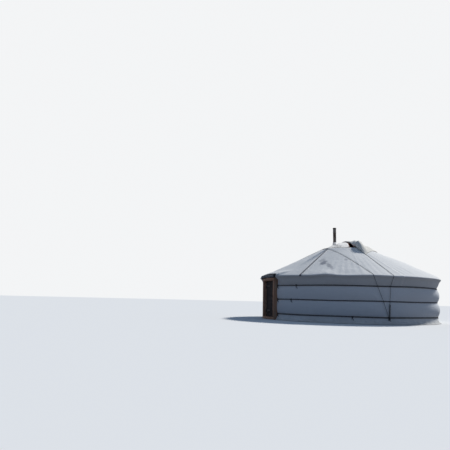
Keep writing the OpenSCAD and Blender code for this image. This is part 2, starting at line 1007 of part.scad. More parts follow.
// Height of the fold, which sinks to the corners
function fold_lift(x, y) =
    let (t = min(1, abs(x) / cover_reach))
        fold_rise * (1 - t * t) * bell(y + cover_front, fold_w);

// Height of the bunched part, which crosses the fold at a slant
function bunch_lift(x, y) =
    bunch_rise * bell(x - bunch_x, x < bunch_x ? bunch_in_w : bunch_out_w)
        * bell(y - bunch_y + bunch_slant * x, bunch_w);

function edge_lift(r, y) =
    let (back = min(1, max(0, y / edge_back)))
        (edge_rise + (edge_back_rise - edge_rise) * back) * bell(r - crown_r, edge_w);

function rope_lift(y) = 2 * rope_d * bell(y - rope_y - rope_bulge_w / 5, rope_bulge_w);

function cover_point(u, v, top) =
    let (
        y = -cover_front * (1 - v) * (1 - u * u) + cover_reach * v,
        x = u * (cover_reach * (1 - v) + cover_corner),
        r = norm([x, y]),
        ease = min(1, max(0, (cover_reach + cover_corner - r) / corner_ease)),
        lift = seat + edge_lift(r, y) + rope_lift(y) + fold_lift(x, y)
            + (cover_play + bunch_lift(x, y)) * ease
    )
        [x, y, under_cover(r) + lift + (top ? cover_t / roof_cos : 0)];

module crown_cover() {
    n = cover_cols + 1;
    rows = cover_rows + 1;
    us = [for (i = [0 : cover_cols]) -1 + 2 * i / cover_cols];
    vs = [for (j = [0 : cover_rows]) j / cover_rows * cover_end];
    low = [for (v = vs, u = us) cover_point(u, v, false)];
    high = [for (v = vs, u = us) cover_point(u, v, true)];
    m = n * rows;
    function at(i, j) = j * n + i;
    color("ivory")
        rotate([0, 0, cover_az - 90])
            polyhedron(
                concat(low, high),
                concat(
                    [for (j = [0 : rows - 2], i = [0 : n - 2])
                        each [[at(i, j), at(i + 1, j), at(i + 1, j + 1)],
                            [at(i, j), at(i + 1, j + 1), at(i, j + 1)]]],
                    [for (j = [0 : rows - 2], i = [0 : n - 2])
                        each [[m + at(i + 1, j + 1), m + at(i + 1, j), m + at(i, j)],
                            [m + at(i, j + 1), m + at(i + 1, j + 1), m + at(i, j)]]],
                    [for (i = [0 : n - 2])
                        each [[m + at(i, 0), m + at(i + 1, 0), at(i + 1, 0)],
                            [m + at(i, 0), at(i + 1, 0), at(i, 0)]]],
                    [for (i = [0 : n - 2])
                        each [[at(i, rows - 1), at(i + 1, rows - 1), m + at(i + 1, rows - 1)],
                            [at(i, rows - 1), m + at(i + 1, rows - 1), m + at(i, rows - 1)]]],
                    [for (j = [0 : rows - 2])
                        each [[at(0, j), at(0, j + 1), m + at(0, j + 1)],
                            [at(0, j), m + at(0, j + 1), m + at(0, j)]]],
                    [for (j = [0 : rows - 2])
                        each [[at(n - 1, j + 1), at(n - 1, j), m + at(n - 1, j)],
                            [at(n - 1, j + 1), m + at(n - 1, j), m + at(n - 1, j + 1)]]]
                )
            );
}

door_threshold();
door_jamb_left();
door_jamb_right();
door_lintel();
door_leaf();
door_hinge_straps();
door_handle();
door_hinge_pins();
door_flap_roll();
lattice_front_right();
lattice_right();
lattice_back();
lattice_left();
lattice_front_left();
wall_felt_front_right();
wall_felt_back_right();
wall_felt_back_left();
wall_felt_front_left();
wall_canvas_right();
wall_canvas_left();
ground_skirt();
girth_lower();
girth_middle();
girth_upper();
roof_poles_right();
roof_poles_left();
roof_felt_front();
roof_felt_back();
roof_canvas_front();
roof_canvas_back();
crown_ring();
crown_spokes();
crown_hub();
crown_cover();
pipe_flashing();
pipe_collar();
stove_pipe();
pipe_cap();
support_post_right();
support_post_left();
roof_rope_front();
roof_rope_back();
roof_bands_front();
cover_ropes();
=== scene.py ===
"""The looks of a round felt tent with a roped canvas cover, around its packed construction.

Metres, +Z up. The origin is at ground level in the middle of the room and the door faces -Y.
An azimuth is in degrees and is counted from the door towards +X.
"""

import logging
import math
from contextlib import contextmanager
from dataclasses import dataclass, replace
from enum import Enum
from typing import Callable, Iterator, Sequence

import bmesh
import bpy
import numpy as np
from mathutils import Matrix, Vector


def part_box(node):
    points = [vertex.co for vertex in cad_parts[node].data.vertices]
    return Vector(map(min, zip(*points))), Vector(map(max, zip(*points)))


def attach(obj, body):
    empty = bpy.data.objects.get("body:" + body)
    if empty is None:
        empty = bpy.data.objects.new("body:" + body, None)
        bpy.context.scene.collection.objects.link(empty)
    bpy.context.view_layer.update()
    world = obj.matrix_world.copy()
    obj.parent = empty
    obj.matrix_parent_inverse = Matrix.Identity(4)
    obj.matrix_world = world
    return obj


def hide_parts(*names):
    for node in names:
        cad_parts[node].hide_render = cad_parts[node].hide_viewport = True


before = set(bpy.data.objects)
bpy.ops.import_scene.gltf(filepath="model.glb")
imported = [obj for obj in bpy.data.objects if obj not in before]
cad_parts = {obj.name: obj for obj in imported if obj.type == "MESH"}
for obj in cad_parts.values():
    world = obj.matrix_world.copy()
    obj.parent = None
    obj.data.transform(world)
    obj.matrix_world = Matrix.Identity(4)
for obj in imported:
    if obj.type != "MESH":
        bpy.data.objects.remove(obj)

log = logging.getLogger("felt_tent")
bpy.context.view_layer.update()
TENT_BODY = "tent"
DOOR_BODY = "door"
# Distance under which two vertices are one.
MERGE = 0.00002
# Angles between faces: up to the first an edge is shaded smooth, from the second it is bevelled.
SOFT_ANGLE = math.radians(40)
SHARP_ANGLE = math.radians(38)
# Thickness of the canvas, and the gap that the construction leaves between touching parts.
CANVAS_T = 0.0035
PLAY = 0.0003
# Radius of the circle on which the cloths' folds are laid out.
RING = 3.0

Array = np.ndarray
Piece = bpy.types.Object
Node = bpy.types.Node
Tree = bpy.types.NodeTree
Socket = bpy.types.NodeSocket
Sockets = tuple[Socket, Socket]
Colour = tuple[float, float, float]
Span = tuple[float, float]
Curve = Sequence[Sequence[float]]


def smoothstep(low: float, high: float, value: Array) -> Array:
    """Returns a share that rises smoothly from 0 at the low value to 1 at the high one."""
    t = np.clip((value - low) / (high - low), 0.0, 1.0)
    return t * t * (3.0 - 2.0 * t)


def bell(value: Array, middle: float, width: float) -> Array:
    """Returns 1 where a value is at the middle, falling smoothly to 0 on both sides."""
    return np.exp(-(((value - middle) / width) ** 2))


def seam(az: Array, step: float, r: Array | float, width: float) -> Array:
    """Returns 1 on seams a step of azimuth apart, falling to 0 at a width beside them."""
    off = np.abs((az + step / 2) % step - step / 2)
    return bell(np.radians(off) * r, 0.0, width)


def ripple(points: Array, size: Sequence[float] | float, seed: int) -> Array:
    """Gives smooth noise in space.

    Args:
        points: Places, as an array whose last axis holds three coordinates.
        size: Length of one bump, or one length for each coordinate.
        seed: Number that chooses the pattern.

    Returns:
        A value from -1 to 1 at each place.
    """
    table = np.random.default_rng(seed).uniform(-1.0, 1.0, 4096)
    scaled = points / np.asarray(size, float)
    cell = np.floor(scaled).astype(np.int64)
    t = scaled - cell
    t = t * t * (3.0 - 2.0 * t)
    total = np.zeros(points.shape[:-1])
    for corner in np.ndindex(2, 2, 2):
        step = np.array(corner)
        key = (cell + step) @ np.array([73856093, 19349663, 83492791])
        weight = np.prod(np.where(step == 1, t, 1.0 - t), axis=-1)
        total += weight * table[key % 4096]
    return total


def polar(r: float, az: float, z: float) -> Array:
    """Returns the point at that radius, azimuth in degrees and height."""
    a = math.radians(az)
    return np.array([r * math.sin(a), -r * math.cos(a), z])


def azimuth(point: Sequence[float]) -> float:
    """Returns a point's azimuth, in degrees."""
    return math.degrees(math.atan2(point[0], -point[1]))


def turned(degrees: float, axis: str = "Z") -> Matrix:
    """Returns a turn round an axis, in degrees."""
    return Matrix.Rotation(math.radians(degrees), 4, axis)


def unit(directions: Array) -> Array:
    """Returns directions with a length of 1."""
    return directions / np.linalg.norm(directions, axis=-1, keepdims=True).clip(1e-9)


def round_points(r: Array | float, az: Array, z: Array | float) -> Array:
    """Returns polar places as points; the arrays broadcast, with az in degrees."""
    a = np.radians(az)
    return stacked(r * np.sin(a), -r * np.cos(a), z)


def stacked(x: Array, y: Array | float, z: Array | float) -> Array:
    """Returns three coordinates, which broadcast, as points."""
    return np.stack(np.broadcast_arrays(x, y, z), axis=-1)


def rounded(points: Curve, step: float) -> Array:
    """Draws a smooth curve through points.

    Args:
        points: Places that the curve passes.
        step: Distance between the points that are returned.

    Returns:
        Evenly spaced points on the curve, both ends included.
    """
    p = np.asarray(points, float)
    p = np.vstack([2 * p[0] - p[1], p, 2 * p[-1] - p[-2]])
    t = np.linspace(0.0, 1.0, 24, endpoint=False)[:, None]
    parts = []
    for a, b, c, d in zip(p, p[1:], p[2:], p[3:]):
        square = 2 * a - 5 * b + 4 * c - d
        cube = 3 * b - a - 3 * c + d
        parts.append(b + 0.5 * t * (c - a) + 0.5 * t**2 * square + 0.5 * t**3 * cube)
    curve = np.vstack([*parts, p[-2]])
    length = np.insert(np.cumsum(np.linalg.norm(np.diff(curve, axis=0), axis=1)), 0, 0.0)
    wanted = np.linspace(0.0, length[-1], max(2, round(length[-1] / step) + 1))
    return np.stack([np.interp(wanted, length, curve[:, k]) for k in range(3)], axis=1)


def distance_to(points: Array, path: Array) -> Array:
    """Measures how far places are from a path.

    Args:
        points: Places, with three coordinates on the last axis.
        path: The path's points, in order.

    Returns:
        The distance from each place to the nearest stretch of the path.
    """
    best = np.full(points.shape[:-1], np.inf)
    for a, b in zip(path, path[1:]):
        run = b - a
        t = np.clip((points - a) @ run / max(run @ run, 1e-12), 0.0, 1.0)
        best = np.minimum(best, np.linalg.norm(points - a - t[..., None] * run, axis=-1))
    return best


@dataclass(frozen=True)
class Tent:
    """Sizes that the sub-assemblies share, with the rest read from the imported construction."""

    roof_angle: float = math.radians(25.4)
    eave_r: float = 3.190
    eave_round: float = 0.0263
    lattice_r: float = 2.965
    lattice_h: float = 1.497
    pole_d: float = 0.036
    felt_t: float = 0.040
    canvas_t: float = 0.006
    poles: int = 85
    door_poles: int = 5
    girth_d: float = 0.022
    girth_z: tuple[float, float, float] = (0.210, 0.690, 1.150)
    wall_out: float = 3.0276
    valance_out: float = 3.0339
    dome_r: float = 1.19382
    dome_z: float = 1.66152
    crown_r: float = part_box("crown_ring")[1].x
    ring_top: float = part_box("crown_ring")[1].z
    frame_half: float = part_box("door_threshold")[1].x
    frame_front: float = -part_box("door_threshold")[0].y

    @property
    def pitch(self) -> float:
        """Fall of the roof for each metre outwards."""
        return math.tan(self.roof_angle)

    @property
    def cos(self) -> float:
        """Cosine of the roof's slope."""
        return math.cos(self.roof_angle)

    @property
    def pole_step(self) -> float:
        """Azimuth between two roof poles, in degrees."""
        return 360.0 / self.poles

    def roof_top(self, r: Array | float) -> Array | float:
        """Returns the height of the roof canvas's outer face at a radius."""
        return self.ring_top + self.pitch * (self.crown_r - r)

    def felt_under(self, r: Array | float) -> Array | float:
        """Returns the height of the roof felt's underside at a radius."""
        return self.roof_top(r) - (self.canvas_t + self.felt_t + PLAY) / self.cos

    def pole_axis(self, r: float) -> float:
        """Returns the height of a roof pole's axis at a radius."""
        return self.felt_under(r) - (self.pole_d / 2 + PLAY) / self.cos

    def dome_top(self, r: Array | float) -> Array | float:
        """Returns the height of the crown spokes' outer face at a radius."""
        return self.dome_z + np.sqrt(self.dome_r**2 - np.square(r))

    @property
    def eave_mid(self) -> Span:
        """Radius and height of the middle of the rounded eave."""
        r = self.eave_r - self.eave_round
        return r, float(self.roof_top(r)) - self.eave_round / self.cos

    def over_poles(self, az: Array) -> Array:
        """Returns 1 over each roof pole and -1 in the middle between two."""
        return np.cos(math.tau * az / self.pole_step)

    @property
    def roof_end(self) -> float:
        """Radius at which the flat of the roof ends in the eave's curve."""
        return self.eave_mid[0] - 0.012

    @property
    def door_az(self) -> float:
        """Azimuth of the door frame's side, in degrees."""
        return math.degrees(math.asin(self.frame_half / self.wall_out))


def clear() -> None:
    """Leaves edit mode and deselects everything."""
    if bpy.context.object and bpy.context.object.mode != "OBJECT":
        bpy.ops.object.mode_set(mode="OBJECT")
    bpy.ops.object.select_all(action="DESELECT")


def take(piece: Piece) -> Piece:
    """Makes one piece the only selected and the active one, and returns it."""
    clear()
    piece.select_set(True)
    bpy.context.view_layer.objects.active = piece
    return piece


@contextmanager
def editing(piece: Piece) -> Iterator[None]:
    """Keeps a piece in edit mode, at first with all of it selected, while it is worked on."""
    take(piece)
    bpy.ops.object.mode_set(mode="EDIT")
    bpy.ops.mesh.select_all(action="SELECT")
    yield
    bpy.ops.object.mode_set(mode="OBJECT")


def linked(name: str, data: bpy.types.ID) -> Piece:
    """Puts new data into the scene as an object, and returns it."""
    piece = bpy.data.objects.new(name, data)
    bpy.context.scene.collection.objects.link(piece)
    return piece


def modified(piece: Piece, kind: str, **settings: object) -> Piece:
    """Gives a piece a modifier and applies it.

    Args:
        piece: The piece to change.
        kind: Blender's name for the modifier type.
        settings: Properties to set on the modifier first.

    Returns:
        The same piece.
    """
    take(piece)
    modifier = piece.modifiers.new(kind.lower(), kind)
    for key, value in settings.items():
        setattr(modifier, key, value)
    bpy.ops.object.modifier_apply(modifier=modifier.name)
    return piece


def settle(name: str) -> Piece:
    """Names the new primitive, puts its place into its mesh and returns it."""
    piece = bpy.context.active_object
    piece.name = name
    piece.data.name = name
    bpy.ops.object.transform_apply(location=True, rotation=True, scale=True)
    return piece


def block(name: str, low: Sequence[float], high: Sequence[float]) -> Piece:
    """Starts a piece as a block between two corners, and returns it."""
    a, b = Vector(low), Vector(high)
    clear()
    bpy.ops.mesh.primitive_cube_add(size=1.0, location=(a + b) / 2, scale=b - a)
    return settle(name)


def choose(piece: Piece, test: Callable[[bmesh.types.BMFace], bool]) -> None:
    """Selects some of a piece's faces, with the piece in edit mode.

    Args:
        piece: The piece that is being worked on.
        test: Tells whether a face is selected.
    """
    mesh = bmesh.from_edit_mesh(piece.data)
    bpy.ops.mesh.select_mode(type="FACE")
    for face in mesh.faces:
        face.select_set(bool(test(face)))
    bmesh.update_edit_mesh(piece.data)


def cut(piece: Piece, place: Sequence[float], normal: Sequence[float]) -> None:
    """Cuts new edges across a piece where a plane meets it."""
    with editing(piece):
        bpy.ops.mesh.bisect(plane_co=place, plane_no=normal)


def soften(piece: Piece, width: float, segments: int = 2) -> Piece:
    """Rounds the sharp edges of a piece.

    Args:
        piece: The piece to finish.
        width: Width of the bevel.
        segments: Steps across the bevel.

    Returns:
        The same piece.
    """
    limit = {"limit_method": "ANGLE", "angle_limit": SHARP_ANGLE}
    modified(piece, "BEVEL", width=width, segments=segments, **limit)
    bpy.ops.object.shade_smooth_by_angle(angle=SOFT_ANGLE)
    return piece


def copy_of(node: str, name: str, width: float) -> Piece:
    """Takes a copy of a construction node's mesh and gives it worn edges.

    Args:
        node: The node to copy.
        name: Name of the new piece.
        width: Width of the worn edges.

    Returns:
        The new piece, which stands for the node.
    """
    piece = linked(name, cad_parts[node].data.copy())
    with editing(piece):
        bpy.ops.mesh.remove_doubles(threshold=MERGE)
        bpy.ops.mesh.dissolve_limited(angle_limit=math.radians(1))
    soften(piece, width)
    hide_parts(node)
    return piece


def spun(name: str, outline: Sequence[Span], steps: int, centre: Sequence[float] = (0, 0, 0)) -> Piece:
    """Spins a closed outline round a vertical axis.

    Args:
        name: Name of the new piece.
        outline: Radius and height of each corner, in order round the outline.
        steps: Steps round the axis.
        centre: Point on the axis from which the heights count.

    Returns:
        The turned piece.
    """
    mesh = bpy.data.meshes.new(name)
    corners = [Vector(centre) + Vector((r, 0.0, z)) for r, z in outline]
    count = len(corners)
    mesh.from_pydata(corners, [(k, (k + 1) % count) for k in range(count)], [])
    piece = linked(name, mesh)
    with editing(piece):
        bpy.ops.mesh.spin(steps=steps, angle=math.tau, center=centre, axis=(0.0, 0.0, 1.0))
        bpy.ops.mesh.select_all(action="SELECT")
        bpy.ops.mesh.remove_doubles(threshold=MERGE)
        bpy.ops.mesh.normals_make_consistent(inside=False)
    bpy.ops.object.shade_smooth_by_angle(angle=SOFT_ANGLE)
    return piece


def repeated(name: str, master: Piece, places: Sequence[Matrix]) -> Piece:
    """Copies a modelled piece to several places and joins the copies.

    Args:
        name: Name of the joined piece.
        master: The piece that is copied, and then removed.
        places: Where each copy goes.

    Returns:
        The joined piece.
    """
    pieces = [linked(name, master.data.copy()) for _ in places]
    for piece, place in zip(pieces, places):
        piece.data.transform(place)
    bpy.data.objects.remove(master)
    return joined(name, pieces)


def joined(name: str, pieces: Sequence[Piece]) -> Piece:
    """Joins pieces into the first of them.

    Args:
        name: Name that the first piece is given.
        pieces: The pieces to join.

    Returns:
        The joined piece.
    """
    clear()
    for piece in pieces:
        piece.select_set(True)
    bpy.context.view_layer.objects.active = pieces[0]
    if len(pieces) > 1:
        bpy.ops.object.join()
    pieces[0].name = name
    pieces[0].data.name = name
    return pieces[0]


def lay_map(mesh: bpy.types.Mesh, places: Array) -> None:
    """Gives every face corner of a mesh the map place of its vertex."""
    layer = mesh.uv_layers[0] if mesh.uv_layers else mesh.uv_layers.new(name="run")
    corners = np.empty(len(mesh.loops), int)
    mesh.loops.foreach_get("vertex_index", corners)
    layer.data.foreach_set("uv", places[corners].ravel())


def length_map(piece: Piece, axis: int) -> Piece:
    """Gives a straight piece a map whose first coordinate runs along it, in metres.

    Args:
        piece: The piece, still in line with an axis.
        axis: The axis that it runs along, 0 for X to 2 for Z.

    Returns:
        The same piece.
    """
    co = np.empty(len(piece.data.vertices) * 3)
    piece.data.vertices.foreach_get("co", co)
    co = co.reshape(-1, 3)
    lay_map(piece.data, np.stack([co[:, axis], np.delete(co, axis, 1).sum(axis=1)], 1))
    return piece


def mapped(name: str, points: Array, faces: list[list[int]], u: Array, v: Array) -> Piece:
    """Makes a smooth mesh with a map in metres.

    Args:
        name: Name of the new piece.
        points: Its vertices, in rows.
        faces: The vertex numbers of each face.
        u: First map coordinate of each vertex.
        v: Second map coordinate of each vertex.

    Returns:
        The new piece.
    """
    mesh = bpy.data.meshes.new(name)
    mesh.from_pydata(points.reshape(-1, 3).tolist(), [], faces)
    lay_map(mesh, np.stack([u.ravel(), v.ravel()], 1))
    mesh.polygons.foreach_set("use_smooth", np.ones(len(mesh.polygons), bool))
    return linked(name, mesh)


@dataclass
class Cloth:
    """A sheet as rows of points, from the top down, each row in the direction of the azimuth."""

    name: str
    points: Array
    thickness: float
    inner_face: bool = False

    def normals(self) -> Array:
        """Returns the outward direction at each point."""
        down = np.gradient(self.points, axis=0)
        along = np.gradient(self.points, axis=1)
        return unit(np.cross(down, along))

    def push(self, amount: Array) -> None:
        """Moves each point outwards by an amount."""
        self.points = self.points + self.normals() * amount[..., None]

    def build(self) -> Piece:
        """Makes the sheet's mesh, with its thickness and a map in metres.

        Returns:
            The new piece.
        """
        rows, cols, _ = self.points.shape
        index = np.arange(rows * cols).reshape(rows, cols)
        quads = np.stack([index[:-1, :-1], index[1:, :-1], index[1:, 1:], index[:-1, 1:]], -1)
        along = np.linalg.norm(np.diff(self.points, axis=1), axis=-1)
        down = np.linalg.norm(np.diff(self.points, axis=0), axis=-1)
        u = np.hstack([np.zeros((rows, 1)), np.cumsum(along, axis=1)])
        v = np.vstack([np.zeros((1, cols)), np.cumsum(down, axis=0)])
        piece = mapped(self.name, self.points, quads.reshape(-1, 4).tolist(), u, v)
        offset = 1.0 if self.inner_face else -1.0
        return modified(piece, "SOLIDIFY", thickness=self.thickness, offset=offset)


@dataclass
class Sweep:
    """An outline that is carried along a path."""

    name: str
    path: Array
    outline: Array
    twist: float = 0.0
    up: Array | None = None

    def frames(self) -> tuple[Array, Array]:
        """Finds the directions across the path.

        Returns:
            The sideways and the outward direction at each point.
        """
        ahead = unit(np.gradient(self.path, axis=0))
        if self.up is not None:
            side = unit(np.cross(ahead, self.up))
            return side, np.cross(side, ahead)
        side = np.empty_like(ahead)
        last = np.cross(ahead[0], [0.0, 0.0, 1.0] if abs(ahead[0][2]) < 0.9 else [1.0, 0.0, 0.0])
        for k, direction in enumerate(ahead):
            last = last - (last @ direction) * direction
            last /= np.linalg.norm(last)
            side[k] = last
        return side, np.cross(side, ahead)

    def build(self) -> Piece:
        """Makes the swept mesh with closed ends and a map along its length.

        Returns:
            The new piece.
        """
        side, up = self.frames()
        steps = np.linalg.norm(np.diff(self.path, axis=0), axis=1)
        run = np.insert(np.cumsum(steps), 0, 0.0)
        turn = run * self.twist
        cos, sin = np.cos(turn)[:, None], np.sin(turn)[:, None]
        x = self.outline[:, 0] * cos - self.outline[:, 1] * sin
        y = self.outline[:, 0] * sin + self.outline[:, 1] * cos
        rings = self.path[:, None] + side[:, None] * x[..., None] + up[:, None] * y[..., None]
        count, ring = x.shape
        index = np.arange(count * ring).reshape(count, ring)
        after = np.roll(index, -1, axis=1)
        quads = np.stack([index[:-1], index[1:], after[1:], after[:-1]], -1).reshape(-1, 4)
        faces = [*quads.tolist(), index[0].tolist(), index[-1][::-1].tolist()]
        round_share = np.arange(ring) / ring * float(np.ptp(self.outline)) * math.pi
        piece = mapped(self.name, rings, faces, np.repeat(run, ring), np.tile(round_share, count))
        piece.data.validate()
        fix = bmesh.new()
        fix.from_mesh(piece.data)
        bmesh.ops.recalc_face_normals(fix, faces=fix.faces)
        fix.to_mesh(piece.data)
        fix.free()
        return piece


def twisted_rope(name: str, points: Curve, diameter: float) -> Piece:
    """Lays a rope of three strands along a curve.

    Args:
        name: Name of the new piece.
        points: Places that the rope passes.
        diameter: The rope's diameter.

    Returns:
        The new piece.
    """
    lay = 3.6 * diameter
    angle = np.arange(9) / 9 * math.tau
    radius = diameter / 2 * (0.87 + 0.13 * np.cos(3 * angle))
    outline = np.stack([radius * np.cos(angle), radius * np.sin(angle)], 1)
    path = rounded(points, lay / 5)
    return Sweep(name, path, outline, twist=math.tau / lay).build()


def flat_strip(name: str, path: Array, up: Array, width: float, height: float) -> Piece:
    """Lays a flat strip with rounded edges along a path.

    Args:
        name: Name of the new piece.
        path: Evenly spaced points along the strip's middle.
        up: Direction that the strip's face looks in, at each point.
        width: Width of the strip.
        height: Thickness of the strip.

    Returns:
        The new piece.
    """
    w, h = width / 2, height / 2
    outline = np.array([
        [w, 0.0], [w * 0.93, h], [w * 0.4, h * 0.85], [-w * 0.4, h * 0.85], [-w * 0.93, h],
        [-w, 0.0], [-w * 0.93, -h], [w * 0.93, -h],
    ])
    return Sweep(name, path, outline, up=up).build()


class Graph:
    """Adds nodes to a node tree and links them."""

    def __init__(self, tree: Tree) -> None:
        """Keeps the tree that the nodes go into."""
        self.tree = tree

    def add(self, kind: str, inputs: dict | None = None, **settings: object) -> Node:
        """Adds a node.

        Args:
            kind: Blender's name for the node type.
            inputs: Values or sockets for its inputs, by name or number.
            settings: Properties to set on the node first.

        Returns:
            The new node.
        """
        node = self.tree.nodes.new(kind)
        for key, value in settings.items():
            setattr(node, key, value)
        return self.feed(node, inputs or {})

    def feed(self, node: Node, inputs: dict) -> Node:
        """Links sockets to a node's inputs and sets the values.

        Args:
            node: The node.
            inputs: Values or sockets for its inputs, by name or number.

        Returns:
            The same node.
        """
        for key, value in inputs.items():
            if isinstance(value, Socket):
                self.tree.links.new(value, node.inputs[key])
            else:
                node.inputs[key].default_value = value
        return node

    def math(self, operation: str, a: object, b: object = 0.0) -> Socket:
        """Returns the result of a sum on two values or sockets."""
        return self.add("ShaderNodeMath", {0: a, 1: b}, operation=operation).outputs[0]

    def plus(self, a: object, b: object) -> Socket:
        """Returns the sum of two values or sockets."""
        return self.math("ADD", a, b)

    def times(self, a: object, b: object) -> Socket:
        """Returns the product of two values or sockets."""
        return self.math("MULTIPLY", a, b)

    def noise(self, vector: object, scale: float, detail: float = 4.0) -> Socket:
        """Returns cloudy noise from 0 to 1 at a place."""
        node = self.add("ShaderNodeTexNoise", {"Vector": vector, "Scale": scale, "Detail": detail})
        return node.outputs[0]

    def scaled(self, vector: object, size: object) -> Socket:
        """Returns a place multiplied by a size."""
        return self.add("ShaderNodeVectorMath", {0: vector, 3: size}, operation="SCALE").outputs[0]

    def stretch(self, vector: object, scale: Sequence[float]) -> Socket:
        """Returns a place with each coordinate multiplied."""
        return self.add("ShaderNodeMapping", {"Vector": vector, "Scale": scale}).outputs[0]

    def ramp(self, value: object, low: float, high: float, to: Span = (0.0, 1.0)) -> Socket:
        """Returns a value mapped from one range to another, held at its ends."""
        inputs = {0: value, 1: low, 2: high, 3: to[0], 4: to[1]}
        return self.add("ShaderNodeMapRange", inputs, interpolation_type="SMOOTHSTEP").outputs[0]

    def mix(self, share: object, a: object, b: object, blend: str = "MIX") -> Socket:
        """Returns the mix of two colours."""
        colours = {0: share, 6: opaque(a), 7: opaque(b)}
        return self.add("ShaderNodeMix", colours, data_type="RGBA", blend_type=blend).outputs[2]

    def bump(self, height: object, strength: float, distance: float) -> Socket:
        """Returns the normal of a surface with that relief."""
        inputs = {"Height": height, "Strength": strength, "Distance": distance}
        return self.add("ShaderNodeBump", inputs).outputs[0]


def opaque(colour: object) -> object:
    """Adds full opacity to a colour, and leaves a socket as it is."""
    return colour if isinstance(colour, Socket) else (*colour, 1.0)


@dataclass
class Pattern:
    """What the shared node groups draw, each from a place and a size."""

    graph: Graph
    place: Socket
    size: Socket

    def plain_weave(self) -> Sockets:
        """Crosses two sets of threads; Size is the threads in a metre.

        Returns:
            Slubs as the mask, and the threads as the relief.
        """
        graph = self.graph
        inputs = {"Vector": graph.scaled(self.place, self.size), "Scale": 0.5}
        warp = graph.add("ShaderNodeTexWave", inputs, bands_direction="X").outputs[1]
        weft = graph.add("ShaderNodeTexWave", inputs, bands_direction="Y").outputs[1]
        threads = graph.math("MAXIMUM", warp, weft)
        slub_x = graph.noise(graph.stretch(self.place, (4.0, 260.0, 260.0)), 1.0, 2.0)
        slub_y = graph.noise(graph.stretch(self.place, (260.0, 4.0, 260.0)), 1.0, 2.0)
        slubs = graph.times(graph.plus(slub_x, slub_y), 0.5)
        return slubs, graph.plus(graph.times(threads, 0.5), slubs)

    def weathering(self) -> Sockets:
        """Collects dust, rain streaks and blotches; Size is the height of the dusty foot.

        Returns:
            The dirt as the mask, and small creases as the relief.
        """
        graph = self.graph
        z = graph.add("ShaderNodeSeparateXYZ", {0: self.place}).outputs[2]
        foot = graph.math("SUBTRACT", 1.0, graph.math("DIVIDE", z, self.size))
        ragged = graph.plus(foot, graph.math("SUBTRACT", graph.noise(self.place, 5.0), 0.5))
        dust = graph.ramp(ragged, 0.05, 1.0)
        rain = graph.noise(graph.stretch(self.place, (7.0, 7.0, 0.7)), 1.0, 5.0)
        streaks = graph.ramp(rain, 0.56, 0.80)
        blotches = graph.ramp(graph.noise(self.place, 1.1, 6.0), 0.50, 0.78)
        upper = graph.plus(graph.times(streaks, 0.35), graph.times(blotches, 0.4))
        mask = graph.math("MINIMUM", graph.plus(graph.times(dust, 0.75), upper), 1.0)
        return mask, graph.noise(graph.stretch(self.place, (9.0, 9.0, 13.0)), 1.0, 6.0)

    def wood_grain(self) -> Sockets:
        """Draws long grain along the first coordinate; Size is the grain lines in a metre.

        Returns:
            The dark lines as the mask, and the checks and lines as the relief.
        """
        graph = self.graph
        scaled = graph.scaled(graph.stretch(self.place, (0.045, 1.0, 1.0)), self.size)
        lines = graph.noise(scaled, 1.0, 6.0)
        inputs = {"Vector": scaled, "Scale": 0.16, "Distortion": 7.0, "Detail": 3.0}
        rings = graph.add("ShaderNodeTexWave", inputs, bands_direction="Y").outputs[1]
        mask = graph.ramp(graph.plus(graph.times(rings, 0.4), lines), 0.45, 1.05)
        checks = graph.ramp(graph.noise(scaled, 0.7, 3.0), 0.62, 0.70, (0.0, -1.0))
        return mask, graph.plus(lines, checks)

    def wool_fibre(self) -> Sockets:
        """Mats short fibres; Size is the tufts in a metre.

        Returns:
            Darker tufts as the mask, and the matted surface as the relief.
        """
        scaled = self.graph.scaled(self.place, self.size)
        tufts = self.graph.noise(scaled, 1.0, 8.0)
        lumps = self.graph.noise(scaled, 0.12, 3.0)
        mask = self.graph.ramp(self.graph.plus(tufts, self.graph.times(lumps, 0.6)), 0.55, 1.05)
        return mask, self.graph.plus(tufts, lumps)

    def rust_and_soot(self) -> Sockets:
        """Spreads rust or soot in patches; Size is the patches in a metre.

        Returns:
            The patches as the mask, and their crust as the relief.
        """
        scaled = self.graph.scaled(self.place, self.size)
        patches = self.graph.noise(scaled, 1.0, 7.0)
        crust = self.graph.noise(scaled, 9.0, 4.0)
        mask = self.graph.ramp(patches, 0.46, 0.66)
        return mask, self.graph.plus(patches, self.graph.times(crust, 0.5))


class Effect(Enum):
    """Node groups that several finishes share, each named after its pattern."""

    WEAVE = "plain_weave"
    WEATHER = "weathering"
    GRAIN = "wood_grain"
    FIBRE = "wool_fibre"
    SCALE = "rust_and_soot"

    def group(self) -> Tree:
        """Builds the effect's node group the first time.

        Returns:
            The group.
        """
        made = bpy.data.node_groups.get(self.value)
        if made:
            return made
        tree = bpy.data.node_groups.new(self.value, "ShaderNodeTree")
        for name, way, kind in (
            ("Place", "INPUT", "Vector"), ("Size", "INPUT", "Float"),
            ("Mask", "OUTPUT", "Float"), ("Relief", "OUTPUT", "Float"),
        ):
            tree.interface.new_socket(name, in_out=way, socket_type=f"NodeSocket{kind}")
        inside = tree.nodes.new("NodeGroupInput").outputs
        outside = tree.nodes.new("NodeGroupOutput")
        pattern = Pattern(Graph(tree), inside["Place"], inside["Size"])
        mask, relief = getattr(pattern, self.value)()
        pattern.graph.feed(outside, {"Mask": mask, "Relief": relief})
        return tree


class Along(Enum):
    """The direction of a pattern on a piece."""

    X = (0.0, 0.0, 0.0)
    Z = (0.0, math.pi / 2, 0.0)
    MAP = None


